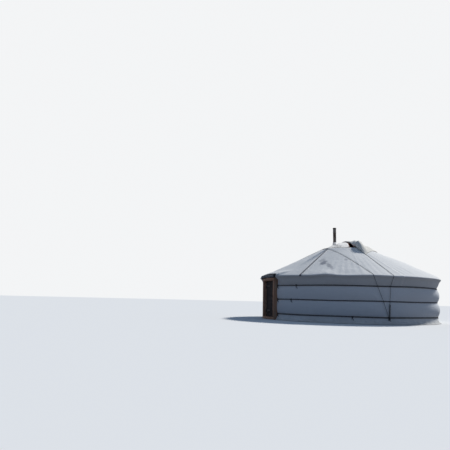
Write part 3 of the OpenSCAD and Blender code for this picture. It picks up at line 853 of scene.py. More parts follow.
@dataclass(frozen=True)
class Finish:
    """What every finish has: the record's slot, a colour and how rough it is."""

    slot: str
    colour: Colour
    worn: Colour
    rough: float = 0.9
    along: Along = Along.MAP
    variant: str = ""

    @property
    def name(self) -> str:
        """Name of the material."""
        return f"{self.slot}{self.variant}_finish"

    def material(self) -> bpy.types.Material:
        """Builds the finish's material the first time.

        Returns:
            The material.
        """
        made = bpy.data.materials.get(self.name)
        if made:
            return made
        made = bpy.data.materials.new(self.name)
        made.use_nodes = True
        made.diffuse_color = opaque(self.colour)
        shader = made.node_tree.nodes["Principled BSDF"]
        self.paint(Graph(made.node_tree), shader)
        return made

    def paint(self, graph: Graph, shader: Node) -> None:
        """Links the finish's own pattern to the shader.

        Args:
            graph: The material's nodes.
            shader: Its Principled BSDF.
        """
        raise NotImplementedError

    def place(self, graph: Graph) -> Socket:
        """Returns the place on the piece, turned so that a pattern runs along it."""
        source = graph.add("ShaderNodeTexCoord")
        if self.along is Along.MAP:
            return source.outputs["UV"]
        turned = {"Vector": source.outputs["Object"], "Rotation": self.along.value}
        return graph.add("ShaderNodeMapping", turned).outputs[0]

    def effect(self, graph: Graph, effect: Effect, place: object, size: float) -> Sockets:
        """Returns the mask and relief of a shared effect at a place."""
        node = graph.add("ShaderNodeGroup", node_tree=effect.group())
        graph.feed(node, {"Place": place, "Size": size})
        return node.outputs["Mask"], node.outputs["Relief"]


@dataclass(frozen=True)
class PaintedShadow:
    """A painted shadow on the roof: its middle, half length, half width, strength and turn."""

    x: float
    y: float
    half_length: float
    half_width: float
    strength: float
    turn: float


@dataclass(frozen=True)
class ClothFinish(Finish):
    """Woven canvas with weathering, and painted shadow patches where they are given."""

    threads: float = 420.0
    foot: float = 0.35
    soil: float = 0.55
    painted_shadows: tuple[PaintedShadow, ...] = ()

    def paint(self, graph: Graph, shader: Node) -> None:
        """Mixes dust, streaks and painted shadow patches into the weave's colour."""
        place = graph.add("ShaderNodeTexCoord").outputs["Object"]
        slubs, threads = self.effect(graph, Effect.WEAVE, self.place(graph), self.threads)
        dirt, creases = self.effect(graph, Effect.WEATHER, place, self.foot)
        tone = graph.mix(graph.times(slubs, 0.22), self.colour, self.worn)
        tone = graph.mix(graph.times(dirt, self.soil), tone, self.worn)
        # Painted shadow: each patch mixes a dark blue-grey shade colour into the canvas.
        for shadow in self.painted_shadows:
            tone = graph.mix(self.painted_shadow_mask(graph, place, shadow), tone, (0.19, 0.21, 0.27))
        rough = graph.ramp(dirt, 0.0, 1.0, (self.rough - 0.06, self.rough))
        relief = graph.plus(creases, graph.times(threads, 0.03))
        graph.feed(shader, {
            "Base Color": tone, "Roughness": rough, "Normal": graph.bump(relief, 0.55, 0.012),
            "Sheen Weight": 0.15, "Sheen Roughness": 0.6, "Specular IOR Level": 0.2,
        })

    @staticmethod
    def painted_shadow_mask(graph: Graph, place: object, shadow: PaintedShadow) -> Socket:
        """Draws one painted shadow patch.

        Args:
            graph: The material's nodes.
            place: The place on the piece.
            shadow: The painted shadow patch.

        Returns:
            How dark the painted shadow is at the place.
        """
        inputs = {
            "Vector": place, "Location": (shadow.x, shadow.y, 0.0),
            "Rotation": (0.0, 0.0, shadow.turn), "Scale": (shadow.half_length, shadow.half_width, 1e3),
        }
        local = graph.add("ShaderNodeMapping", inputs, vector_type="TEXTURE").outputs[0]
        far = graph.add("ShaderNodeVectorMath", {0: local}, operation="LENGTH").outputs[1]
        ragged = graph.plus(far, graph.times(graph.noise(place, 14.0, 6.0), 1.1))
        return graph.ramp(ragged, 1.45, 0.85, (0.0, shadow.strength))


@dataclass(frozen=True)
class FeltFinish(Finish):
    """Pressed wool."""

    tufts: float = 140.0

    def paint(self, graph: Graph, shader: Node) -> None:
        """Mottles the wool and lifts its fibres."""
        mask, relief = self.effect(graph, Effect.FIBRE, self.place(graph), self.tufts)
        cloudy = graph.noise(self.place(graph), 2.2, 5.0)
        share = graph.times(graph.plus(mask, cloudy), 0.5)
        graph.feed(shader, {
            "Base Color": graph.mix(share, self.colour, self.worn),
            "Roughness": graph.ramp(mask, 0.0, 1.0, (self.rough, 1.0)),
            "Normal": graph.bump(relief, 0.7, 0.004), "Sheen Weight": 0.35, "Specular IOR Level": 0.1,
        })


@dataclass(frozen=True)
class RopeFinish(Finish):
    """Twisted horsehair or a woven band."""

    tufts: float = 300.0

    def paint(self, graph: Graph, shader: Node) -> None:
        """Streaks the hairs along the rope."""
        place = graph.stretch(self.place(graph), (0.2, 1.0, 1.0))
        mask, relief = self.effect(graph, Effect.FIBRE, place, self.tufts)
        pale = graph.ramp(graph.noise(self.place(graph), 1.7, 3.0), 0.45, 0.75, (0.0, 0.5))
        graph.feed(shader, {
            "Base Color": graph.mix(graph.math("MAXIMUM", mask, pale), self.colour, self.worn),
            "Roughness": graph.ramp(mask, 0.0, 1.0, (self.rough - 0.1, 1.0)),
            "Normal": graph.bump(relief, 0.8, 0.002), "Sheen Weight": 0.2,
        })


@dataclass(frozen=True)
class WoodFinish(Finish):
    """Stained or painted wood with its grain showing."""

    lines: float = 60.0
    bare: Colour = (0.40, 0.33, 0.26)
    bare_share: float = 0.35
    gloss: float = 0.3

    def paint(self, graph: Graph, shader: Node) -> None:
        """Runs the grain along the piece and wears the stain off in places."""
        place = self.place(graph)
        grain, relief = self.effect(graph, Effect.GRAIN, place, self.lines)
        tone = graph.mix(grain, self.colour, self.worn)
        patches = graph.noise(graph.stretch(place, (2.0, 9.0, 9.0)), 1.0, 6.0)
        rubbed = graph.plus(patches, graph.times(relief, 0.25))
        share = graph.ramp(rubbed, 0.60, 0.86, (0.0, self.bare_share))
        graph.feed(shader, {
            "Base Color": graph.mix(share, tone, self.bare),
            "Roughness": graph.ramp(graph.plus(share, grain), 0.0, 1.0, (self.rough - 0.15, self.rough)),
            "Normal": graph.bump(relief, 0.6, 0.003), "Specular IOR Level": self.gloss,
        })


@dataclass(frozen=True)
class SteelFinish(Finish):
    """Sheet or forged steel with rust, soot or a dull zinc bloom."""

    patches: float = 12.0
    metallic: float = 0.8
    share: float = 0.8

    def paint(self, graph: Graph, shader: Node) -> None:
        """Dulls the metal in patches."""
        mask, relief = self.effect(graph, Effect.SCALE, self.place(graph), self.patches)
        amount = graph.times(mask, self.share)
        graph.feed(shader, {
            "Base Color": graph.mix(amount, self.colour, self.worn),
            "Roughness": graph.ramp(amount, 0.0, 1.0, (self.rough, 0.95)),
            "Metallic": graph.ramp(amount, 0.0, 1.0, (self.metallic, 0.05)),
            "Normal": graph.bump(relief, 0.35, 0.003),
        })


# The four patches on the front of the roof canvas are painted shadow in dark blue-grey.
ROOF_CANVAS = ClothFinish(
    "roof_canvas", (0.86, 0.86, 0.85), (0.66, 0.65, 0.63), foot=0.01, soil=0.32,
    painted_shadows=(
        PaintedShadow(1.42, -1.74, 0.30, 0.16, 0.92, -0.89), PaintedShadow(1.80, -1.74, 0.46, 0.11, 0.66, -0.24),
        PaintedShadow(1.17, -1.66, 0.26, 0.15, 0.45, -0.89), PaintedShadow(1.70, -1.05, 0.16, 0.10, 0.45, -0.89),
    ),
)
WALL_CANVAS = ClothFinish("wall_canvas", (0.77, 0.80, 0.84), (0.56, 0.57, 0.58), foot=0.5, soil=0.35)
# Painted shade: the roof canvas's own hanging edge in a darker grey, for the shade under the eave.
SHADED_VALANCE_CANVAS = replace(
    ROOF_CANVAS, colour=(0.69, 0.70, 0.71), worn=(0.52, 0.51, 0.49), soil=0.40, painted_shadows=(),
    variant="_shaded_valance",
)
# Painted highlight: the roof canvas in a lighter tone for the raised hems beside the bands.
LIT_HEM_CANVAS = replace(
    ROOF_CANVAS, colour=(0.90, 0.90, 0.89), worn=(0.70, 0.69, 0.66), soil=0.3, painted_shadows=(), variant="_lit_hem"
)
SKIRT_CANVAS = ClothFinish("skirt_canvas", (0.76, 0.77, 0.78), (0.47, 0.45, 0.40), foot=0.14, soil=0.60)
COVER_CANVAS = ClothFinish("cover_canvas", (0.84, 0.81, 0.74), (0.62, 0.58, 0.50), foot=0.01, soil=0.35)
# Painted shade: the rolled door flap is near-black for the shade under the raised eave over the door.
SHADED_FLAP_CANVAS = ClothFinish("flap_canvas", (0.11, 0.12, 0.14), (0.17, 0.17, 0.175), foot=0.01, soil=0.5)
WOOL = FeltFinish("felt", (0.74, 0.70, 0.63), (0.55, 0.51, 0.45))
HAIR_ROPE = RopeFinish("rope", (0.030, 0.032, 0.040), (0.085, 0.080, 0.078))
HAIR_BAND = replace(HAIR_ROPE, colour=(0.035, 0.042, 0.070), worn=(0.070, 0.078, 0.105), variant="_band")
THONG = replace(HAIR_ROPE, colour=(0.20, 0.14, 0.09), worn=(0.34, 0.26, 0.18), variant="_thong")
FRAME_WOOD = WoodFinish(
    "frame_wood", (0.46, 0.27, 0.18), (0.28, 0.16, 0.11), along=Along.Z, bare_share=0.6
)
RAIL_WOOD = replace(FRAME_WOOD, along=Along.X, variant="_rail")
# Painted shade: the door leaf and its boards are near-black for the shade in the deep doorway recess.
SHADED_LEAF_WOOD = WoodFinish(
    "leaf_wood", (0.060, 0.052, 0.052), (0.036, 0.032, 0.034), along=Along.Z,
    bare=(0.12, 0.10, 0.09), gloss=0.1,
)
LATH_WOOD = WoodFinish("lattice_wood", (0.55, 0.30, 0.17), (0.36, 0.17, 0.09), bare=(0.60, 0.46, 0.31))
POLE_WOOD = WoodFinish(
    "painted_wood", (0.55, 0.19, 0.10), (0.36, 0.10, 0.06), gloss=0.45, rough=0.7, variant="_pole"
)
POST_WOOD = replace(POLE_WOOD, along=Along.Z, variant="_post")
CROWN_WOOD = replace(
    POLE_WOOD, colour=(0.52, 0.17, 0.10), worn=(0.33, 0.10, 0.06), along=Along.X, variant="_crown"
)
IRON = SteelFinish(
    "iron", (0.085, 0.085, 0.09), (0.13, 0.07, 0.04), rough=0.8, along=Along.X, metallic=0.35
)
ZINC_SHEET = SteelFinish(
    "flashing_sheet", (0.76, 0.77, 0.79), (0.58, 0.58, 0.58), rough=0.36, along=Along.X,
    metallic=0.9, share=0.6,
)
PIPE_STEEL = SteelFinish(
    "pipe_steel", (0.075, 0.078, 0.085), (0.10, 0.06, 0.04), rough=0.55, along=Along.X, patches=9.0
)


def dress(piece: Piece, finish: Finish, body: str = TENT_BODY, node: str = "") -> Piece:
    """Gives a new piece its finish and slot, and lets it ride on a body.

    Args:
        piece: The finished mesh.
        finish: What it is finished in.
        body: The body that it moves with.
        node: The construction node that it stands for, if there is one.

    Returns:
        The same piece.
    """
    piece.data.materials.clear()
    piece.data.materials.append(finish.material())
    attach(piece, body)
    if node:
        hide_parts(node)
    triangles = sum(len(face.vertices) - 2 for face in piece.data.polygons)
    log.info("%s: %d triangles, finish %s", piece.name, triangles, finish.name)
    return piece


@dataclass(frozen=True)
class Routes:
    """Where the ropes and bands run over the tent."""

    tent: Tent
    rope_d: float = 0.012
    rope_y: float = 0.936
    rope_foot_az: float = 81.5
    band_w: float = 0.062
    band_t: float = 0.008
    band_x: float = 0.290
    band_angle: float = 37.7
    lift: float = 0.001
    cover_reach: float = 1.5
    cover_az: float = 84.0

    @property
    def rope_off(self) -> float:
        """Distance of a rope's middle from the cloth."""
        return self.rope_d / 2 + self.lift

    @staticmethod
    def mirrored(path: Sequence[Array]) -> list[Array]:
        """Returns a path on the other side of the door, in the other direction."""
        return [point * [-1, 1, 1] for point in reversed(path)]

    def on_roof(self, x: float, y: float, height: float) -> Array:
        """Returns the point at a height off the roof canvas."""
        r = math.hypot(x, y)
        out = height * math.sin(self.tent.roof_angle) / r
        return np.array([x + x * out, y + y * out, self.tent.roof_top(r) + height * self.tent.cos])

    def outward(self, path: Array) -> Array:
        """Finds the direction away from the roof or the wall.

        Args:
            path: Points on the roof, round the eave or on the wall.

        Returns:
            The direction at each point.
        """
        r = np.linalg.norm(path[:, :2], axis=1)
        mid_r, mid_z = self.tent.eave_mid
        share = smoothstep(mid_r - 0.03, mid_r + 0.03, r) + smoothstep(mid_z, mid_z - 0.03, path[:, 2])
        tilt = self.tent.roof_angle + (math.pi / 2 - self.tent.roof_angle) * np.clip(share, 0, 1)
        flat = path[:, :2] / r[:, None]
        return np.column_stack([flat * np.sin(tilt)[:, None], np.cos(tilt)])

    def round_eave(self, az: float, height: float, angles: Sequence[float]) -> list[Array]:
        """Returns points round the eave at angles above the level."""
        mid_r, mid_z = self.tent.eave_mid
        reach = self.tent.eave_round + height
        turns = [math.radians(a) for a in angles]
        return [polar(mid_r + reach * math.cos(a), az, mid_z + reach * math.sin(a)) for a in turns]

    def down_wall(self, az: float, foot_az: float) -> list[Array]:
        """Leads a rope round the eave and down to the lower girth.

        Args:
            az: Azimuth at which it leaves the roof.
            foot_az: Azimuth of its foot.

        Returns:
            The points that it passes.
        """
        lower, middle, upper = self.tent.girth_z
        on_wall = self.tent.wall_out + self.tent.girth_d + self.rope_off
        on_upper = self.tent.valance_out + self.tent.girth_d + self.rope_off
        steps = (
            (on_upper, 0.30, upper + 0.02), (on_upper, 0.33, upper - 0.02),
            (on_wall, 0.68, middle + 0.01), (on_wall, 0.69, middle - 0.01),
            (on_wall, 1.0, lower + 0.01), (on_wall, 1.0, lower - 0.02),
            (on_wall - 0.004, 1.0, lower - 0.09),
        )
        over = self.round_eave(az, self.rope_off, (45, 15, -20))
        return over + [polar(r, az + (foot_az - az) * share, z) for r, share, z in steps]

    def long_rope(self) -> list[Array]:
        """Returns the long front rope from one foot over the roof to the other."""
        end_x = math.sqrt(self.tent.eave_mid[0] ** 2 - self.rope_y**2) - 0.012
        half = [self.on_roof(end_x * k / 12, -self.rope_y, self.rope_off) for k in range(1, 13)]
        half += self.down_wall(azimuth((end_x, -self.rope_y)), self.rope_foot_az)
        return [*self.mirrored(half), self.on_roof(0.0, -self.rope_y, self.rope_off), *half]

    def slant(self, lead: float, steps: int, height: float) -> tuple[list[Array], float]:
        """Follows the bands' line from the long rope down to the eave.

        Args:
            lead: Distance along the line at which to start.
            steps: Steps to the eave.
            height: Height off the canvas.

        Returns:
            The points, and the azimuth at which they reach the eave.
        """
        turn = math.radians(self.band_angle)
        ahead = np.array([math.sin(turn), -math.cos(turn)])
        start = np.array([self.band_x, -self.rope_y]) + ahead * lead
        along = start @ ahead
        reach = -along + math.sqrt(along**2 - start @ start + self.tent.roof_end**2)
        ends = [start + ahead * reach * k / steps for k in range(steps + 1)]
        return [self.on_roof(x, y, height) for x, y in ends], azimuth(ends[-1])

    def band(self) -> list[Array]:
        """Returns the front right band from the long rope down round the eave."""
        height = self.band_t / 2 + self.lift
        roof, az = self.slant(0.02, 12, height)
        return [*roof, *self.round_eave(az, height, (45, 10, -25, -50))]

    def back_rope(self) -> list[Array]:
        """Returns the rope that passes behind the crown and down on both sides."""
        half, az = self.slant(0.0, 16, self.rope_off)
        half += self.down_wall(az, az + 5.0)
        across = [self.on_roof(self.band_x * k / 3, -self.rope_y, self.rope_off) for k in range(-2, 3)]
        return [p * [-1, -1, 1] for p in (*self.mirrored(half), *across, *half)]

    def cover_ropes(self) -> list[list[Array]]:
        """Returns the ropes of the crown cover's right, left and back corners."""
        paths = []
        for corner, drift in ((0.0, -2.0), (180.0, 2.0), (90.0, 2.0)):
            az = self.cover_az + corner
            radii = np.linspace(self.cover_reach - 0.03, self.tent.roof_end, 7)
            roof = [self.on_roof(*polar(r, az, 0.0)[:2], self.rope_off) for r in radii]
            paths.append([*roof, *self.down_wall(az, az + drift)])
        return paths

    def all_paths(self) -> list[Array]:
        """Returns every rope and band, front and back, for the dents they press."""
        band = np.array(self.band())
        ropes = [self.long_rope(), self.back_rope(), *self.cover_ropes()]
        return [band, band * [-1, 1, 1], *map(np.array, ropes)]

    def nearest(self, points: Array) -> Array:
        """Returns the distance from each place to the nearest rope."""
        return np.min([distance_to(points, path) for path in self.all_paths()], axis=0)

    def dent(self, points: Array, depth: float, width: float) -> Array:
        """Returns how far the ropes press the cloth in at each place, as a negative push."""
        near = self.nearest(points)
        return 0.25 * depth * bell(near, 2.4 * width, width) - depth * bell(near, 0.0, width)


@dataclass
class RopeWork:
    """The girths, the ropes and bands over the roof, and their knots."""

    tent: Tent
    routes: Routes
    strand_gap: float = 0.0095
    tail: float = 0.115

    def build(self) -> None:
        """Makes every rope, band and knot."""
        self.girths()
        self.roof_ropes()
        self.bands()
        self.cover_ropes()
        self.knots()

    def girths(self) -> None:
        """Lays the three girths round the wall from jamb to jamb, each a rope laid double."""
        radii = (self.tent.wall_out, self.tent.wall_out, self.tent.valance_out)
        gap = self.tent.frame_half + self.tent.girth_d / 2
        for label, r, z in zip(("lower", "middle", "upper"), radii, self.tent.girth_z):
            r = r + self.tent.girth_d / 2
            start = math.degrees(math.asin(gap / r))
            turns = np.linspace(start, 360 - start, 90)
            sag = 0.004 * np.sin(np.radians(turns * 7 + z * 400))
            pair = []
            for beside in (self.strand_gap, -self.strand_gap):
                points = [polar(r, az, z + dip + beside) for az, dip in zip(turns, sag)]
                pair.append(twisted_rope("strand", points, self.tent.girth_d * 0.9))
            dress(joined(f"girth_rope_{label}", pair), HAIR_ROPE, node=f"girth_{label}")

    def roof_ropes(self) -> None:
        """Lays the two long ropes over the roof."""
        for label, points in (("front", self.routes.long_rope()), ("back", self.routes.back_rope())):
            piece = twisted_rope(f"roof_rope_twist_{label}", points, self.routes.rope_d)
            dress(piece, HAIR_ROPE, node=f"roof_rope_{label}")

    def bands(self) -> None:
        """Lays the flat bands that run from the long front rope to the eave."""
        path = rounded(self.routes.band(), 0.03)
        size = (self.routes.band_w, self.routes.band_t)
        runs = [path * [side, 1, 1] for side in (1, -1)]
        pair = [flat_strip("band", run, self.routes.outward(run), *size) for run in runs]
        piece = joined("roof_band_woven_front", pair)
        dress(piece, HAIR_BAND, node="roof_bands_front")

    def cover_ropes(self) -> None:
        """Lays the three ropes that hold the crown cover's corners."""
        paths = self.routes.cover_ropes()
        ropes = [twisted_rope("cover_rope", path, self.routes.rope_d) for path in paths]
        hanks = [self.wound_spare(path[-4], path[-2]) for path in paths[:2]]
        piece = joined("cover_rope_twists", [*ropes, *hanks])
        dress(piece, HAIR_ROPE, node="cover_ropes")

    def wound_spare(self, high: Array, low: Array) -> Piece:
        """Winds a cover rope's spare length round itself between the two lower girths.

        Args:
            high: The rope's place at the middle girth.
            low: Its place at the lower girth.

        Returns:
            The wound rope.
        """
        share = np.linspace(0.16, 0.93, 170)
        turn = share * math.tau * 30
        line = high + (low - high) * share[:, None]
        out = unit(line * [1, 1, 0])
        side = np.cross(out, [0, 0, 1])
        around = self.routes.rope_d * 1.05
        path = line + side * np.cos(turn)[:, None] * around * 1.3
        path += out * (np.sin(turn)[:, None] + 0.55) * around
        return twisted_rope("spare", path, self.routes.rope_d * 0.95)

    def knots(self) -> None:
        """Ties the girths, the long ropes' feet and the ends at the jambs."""
        lower, middle, upper = self.tent.girth_z
        wall = self.tent.wall_out + self.tent.girth_d
        top = self.tent.valance_out + self.tent.girth_d
        edge = self.tent.door_az + 0.9
        places = [(27.0, upper, top), (23.0, middle, wall), (61.0, lower, wall), (-118.0, middle, wall)]
        levels = ((lower, wall), (middle, wall), (upper, top))
        places += [(side * edge, z, r) for side in (1, -1) for z, r in levels]
        parts = [self.knot(az, z, r + 0.006, self.tent.girth_d * 0.8) for az, z, r in places]
        pairs = (self.routes.long_rope(), self.routes.back_rope())
        ends = [path[k] for path in pairs for k in (0, -1)]
        feet = map(azimuth, ends + [path[-1] for path in self.routes.cover_ropes()])
        parts += [self.knot(az + 0.3, lower - 0.03, wall + 0.006, self.routes.rope_d) for az in feet]
        dress(joined("rope_knots", parts), HAIR_ROPE)

    def knot(self, az: float, z: float, r: float, diameter: float) -> Piece:
        """Ties an overhand knot with two short ends.

        Args:
            az: Azimuth of the knot.
            z: Height of the knot.
            r: Radius of its middle.
            diameter: Diameter of the rope.

        Returns:
            The knot with its ends.
        """
        centre = polar(r, az, z)
        out = centre * [1, 1, 0] / r
        side = np.array([-out[1], out[0], 0.0])
        up = np.array([0.0, 0.0, 1.0])
        t = np.linspace(0, math.tau, 25)
        loop_x = (np.sin(t) + 2 * np.sin(2 * t)) * diameter * 0.62
        loop_z = (np.cos(t) - 2 * np.cos(2 * t)) * diameter * 0.62
        loop_y = -np.sin(3 * t) * diameter * 0.45
        path = centre + side * loop_x[:, None] + up * loop_z[:, None] + out * loop_y[:, None]
        parts = [twisted_rope("knot", path, diameter)]
        for lean, share in ((0.35, 1.0), (-0.22, 0.72)):
            s = np.linspace(0, 1, 6)[:, None]
            drop = self.tail * share * (diameter / 0.02) ** 0.5
            tail = centre + side * lean * drop * s**1.5 - up * drop * s + out * 0.006 * np.sin(s * 5)
            parts.append(twisted_rope("tail", tail, diameter * 0.9))
        return joined("knot", parts)


@dataclass
class RoofCloth:
    """The roof canvas in two halves with its hanging edge, its hems and the felt under it."""

    tent: Tent
    routes: Routes
    hole_r: float = 0.882
    felt_hole_r: float = 0.862
    felt_sheet_t: float = 0.016
    hem_w: float = 0.045
    gore: float = 22.5
    door_back: float = 0.078
    lap: float = 1.1
    canvas_flat: Span = (7.60, 3.72)
    canvas_area: float = 19.6
    felt_flat: Span = (6.90, 3.35)
    felt_area: float = 16.2

    def build(self) -> None:
        """Makes both halves of the canvas and of the felt, and the hems."""
        for label, middle in (("front", 0.0), ("back", 180.0)):
            # The hems' lighter canvas is a painted highlight.
            hems = [dress(self.hems(), LIT_HEM_CANVAS)] if label == "front" else []
            piece = dress(self.canvas(label, middle), ROOF_CANVAS, node=f"roof_canvas_{label}")
            # The second material paints shade on the hanging edge under the eave.
            piece.data.materials.append(SHADED_VALANCE_CANVAS.material())
            self.mark_valance(piece)
            felt = dress(self.felt(label, middle), WOOL, node=f"roof_felt_{label}")
        self.crown_edge_rope()

    def profile(self) -> Array:
        """Draws the canvas's outline, from the crown's hole to its foot.

        Returns:
            Radius and height of each point.
        """
        mid_r, mid_z = self.tent.eave_mid
        reach = self.tent.eave_round
        start = math.pi / 2 - self.tent.roof_angle
        turns = np.linspace(start, -0.9, 8)
        arc = np.column_stack([mid_r + reach * np.cos(turns), mid_z + reach * np.sin(turns)])
        slope_r = np.linspace(self.hole_r, arc[0, 0], 52)[:-1]
        slope = np.column_stack([slope_r, self.tent.roof_top(slope_r)])
        upper = self.tent.girth_z[2]
        out = self.tent.valance_out
        knees = [
            arc[-1], (out + 0.088, upper + 0.225), (out + 0.042, upper + 0.11),
            (out + 0.001, upper + 0.022),
        ]
        hang = rounded([(r, z, 0.0) for r, z in knees], 0.024)[1:, :2]
        foot = np.array([(out, upper), (out + 0.002, upper - 0.018), (out + 0.006, upper - 0.034)])
        return np.vstack([slope, arc, hang, foot])

    def canvas(self, label: str, middle: float) -> Piece:
        """Makes one half of the canvas.

        Args:
            label: Which half it is.
            middle: Azimuth of its middle.

        Returns:
            The half, with its folds, dents and hanging edge.
        """
        profile = self.profile()
        lap = self.lap if label == "front" else 0.0
        az = np.linspace(middle - 90 - lap, middle + 90 + lap, 321)
        run = np.insert(np.cumsum(np.linalg.norm(np.diff(profile, axis=0), axis=1)), 0, 0.0)
        short = self.short_of_door(az, run[-1]) if label == "front" else az * 0
        reach = run[:, None] * (1 - short / run[-1])
        r, z = (np.interp(reach, run, profile[:, k]) for k in (0, 1))
        z += self.eave_wave(az) * smoothstep(2.75, 3.16, r) * smoothstep(1.10, 1.40, z)
        cloth = Cloth(f"roof_canvas_cloth_{label}", round_points(r, az, z), CANVAS_T)
        cloth.push(self.relief(cloth.points, r, az, z) + self.over_flap(r, az, z))
        if lap:
            side = np.abs(az - middle)
            cloth.push(np.broadcast_to(0.006 * smoothstep(88.2, 89.6, side), r.shape))
        return cloth.build()

    def short_of_door(self, az: Array, length: float) -> Array:
        """Returns by how much the canvas is shorter over the door than its full length."""
        tent = self.tent
        end = (tent.frame_front - self.door_back) / np.cos(np.radians(az)) - self.hole_r
        beside = 1 - smoothstep(tent.door_az + 0.6, tent.door_az + 5.5, np.abs(az))
        return (length - end / tent.cos) * beside

    def eave_wave(self, az: Array) -> Array:
        """Returns how far the eave's edge is drawn up or down round the tent."""
        ring = round_points(3.2, az, 0.0)
        slow = 0.010 * ripple(ring, (0.9, 0.9, 1.0), 5) + 0.005 * ripple(ring, (0.28, 0.28, 1.0), 6)
        return slow + (0.030 * bell(az, 46.5, 5.0) - 0.012 * bell(az, 58.0, 5.0))

    def relief(self, points: Array, r: Array, az: Array, z: Array) -> Array:
        """Returns the folds, puckers and dents of the canvas as a push outwards.

        Args:
            points: The smooth canvas.
            r: Radius of each point.
            az: Azimuth of each column.
            z: Height of each point.

        Returns:
            The push of each point, in metres.
        """
        on_roof = smoothstep(3.17, 3.08, r) * smoothstep(1.44, 1.50, z)
        over_poles = 0.0022 * self.tent.over_poles(az) * smoothstep(1.3, 2.7, r)
        fan = round_points(RING, az, r * 0.35)
        to_eave = smoothstep(1.9, 3.15, r)
        folds = ripple(fan, (0.16, 0.16, 0.3), 11) + 0.6 * ripple(fan, (0.07, 0.07, 0.3), 12)
        soft = 0.006 * ripple(points, 0.5, 13) + 0.002 * ripple(points, 0.13, 14)
        push = on_roof * (over_poles + soft + 0.0045 * folds * to_eave)
        push += on_roof * self.routes.dent(points, 0.007, 0.035)
        push += on_roof * (0.0022 * seam(az, self.gore, r, 0.014) + self.belly(r, az))
        girth = self.tent.girth_z[2] + 0.02
        eave = self.tent.eave_mid[1] - 0.02
        down = np.clip((eave - z) / (eave - girth), 0.0, 1.0)
        hang = np.sin(down * math.pi)
        drop = round_points(RING, az, z * 0.5)
        pleats = ripple(drop, (0.11, 0.11, 0.5), 15) + 0.5 * ripple(drop, (0.045, 0.045, 0.4), 16)
        push += hang * (0.009 * pleats + 0.012 * ripple(drop, (0.6, 0.6, 1.0), 17))
        push += 0.0015 * ripple(drop, (0.05, 0.05, 0.5), 18) * smoothstep(1.14, 1.12, z)
        push += self.hem_rise(r, z)
        return push

    def belly(self, r: Array, az: Array) -> Array:
        """Returns how far the loose canvas on the right stands off the felt."""
        return 0.034 * bell(az, 140.0, 32.0) * smoothstep(1.25, 1.9, r)

    def over_flap(self, r: Array, az: Array, z: Array) -> Array:
        """Returns how far the rolled flap props the canvas up over the door."""
        step = 13.6 + (3.17 - r) * 19.0
        beside = 1 - smoothstep(-2.0, 1.6, np.abs(az) - step)
        return 0.030 * beside * smoothstep(2.72, 3.02, r) * smoothstep(1.19, 1.34, z)

    def hem_rise(self, r: Array, z: Array) -> Array:
        """Returns the thicker hem round the hole and along the hanging edge."""
        inner = 0.003 * smoothstep(self.hole_r + 0.07, self.hole_r + 0.03, r)
        return inner + 0.002 * smoothstep(1.145, 1.13, z)

    def mark_valance(self, piece: Piece) -> None:
        """Gives the hanging edge's faces the second material, a darker copy that paints shade."""
        low = self.tent.eave_mid[1] - 0.012
        mesh = piece.data
        centres = np.empty(len(mesh.polygons) * 3)
        mesh.polygons.foreach_get("center", centres)
        below = centres.reshape(-1, 3)[:, 2] < low
        mesh.polygons.foreach_set("material_index", below.astype(np.int32))

    def hems(self) -> Piece:
        """Sews the raised hems of the front panel beside its bands; their lighter canvas is a painted
        highlight.

        Returns:
            Both hems as one piece.
        """
        band = np.array(self.routes.band())[1:-2]
        beside = np.cross(unit(np.gradient(band, axis=0)), self.routes.outward(band))
        shift = self.routes.band_w / 2 + self.hem_w / 2 + 0.004
        strips = []
        for side in (1, -1):
            line = (band - beside * shift) * [side, 1, 1]
            run = rounded(line, 0.04)
            wave = 0.0015 * ripple(run, 0.08, 21)
            up = self.routes.outward(run)
            run += up * (wave - 0.0025)[:, None]
            strips.append(flat_strip("hem", run, up, self.hem_w, 0.005))
        return joined("roof_hem_front", strips)

    def crown_edge_rope(self) -> None:
        """Lays the drawn rope that closes the canvas round the crown ring."""
        r = (self.hole_r + self.tent.crown_r) / 2 + 0.012
        turns = np.linspace(-178, 178, 80)
        wave = 0.004 * np.sin(np.radians(turns * 11))
        points = [polar(r + w, az, float(self.tent.roof_top(r)) + 0.006) for az, w in zip(turns, wave)]
        dress(twisted_rope("crown_edge_rope", points, 0.016), HAIR_ROPE)

    def felt(self, label: str, middle: float) -> Piece:
        """Makes one half of the roof felt as it is seen from the room.

        Args:
            label: Which half it is.
            middle: Azimuth of its middle.

        Returns:
            The half, which sags a little between the poles.
        """
        az = np.linspace(middle - 89.95, middle + 89.95, 172)
        end = np.full(len(az), self.tent.roof_end)
        over_door = np.abs(az) < self.tent.door_az + 0.8
        front = self.tent.frame_front - self.door_back - 0.004
        end[over_door] = front / np.cos(np.radians(az[over_door]))
        r = self.felt_hole_r + (end - self.felt_hole_r) * np.linspace(0, 1, 40)[:, None]
        z = self.tent.felt_under(r) + 0.0006
        points = round_points(r, az, z)
        cloth = Cloth(f"roof_felt_sheet_{label}", points, self.felt_sheet_t, inner_face=True)
        between = 0.5 - 0.5 * self.tent.over_poles(az)
        sag = -0.007 * between * smoothstep(1.0, 2.0, r) * smoothstep(3.1, 2.95, r)
        cloth.push(sag + 0.0006 * ripple(cloth.points, 0.2, 31))
        return cloth.build()


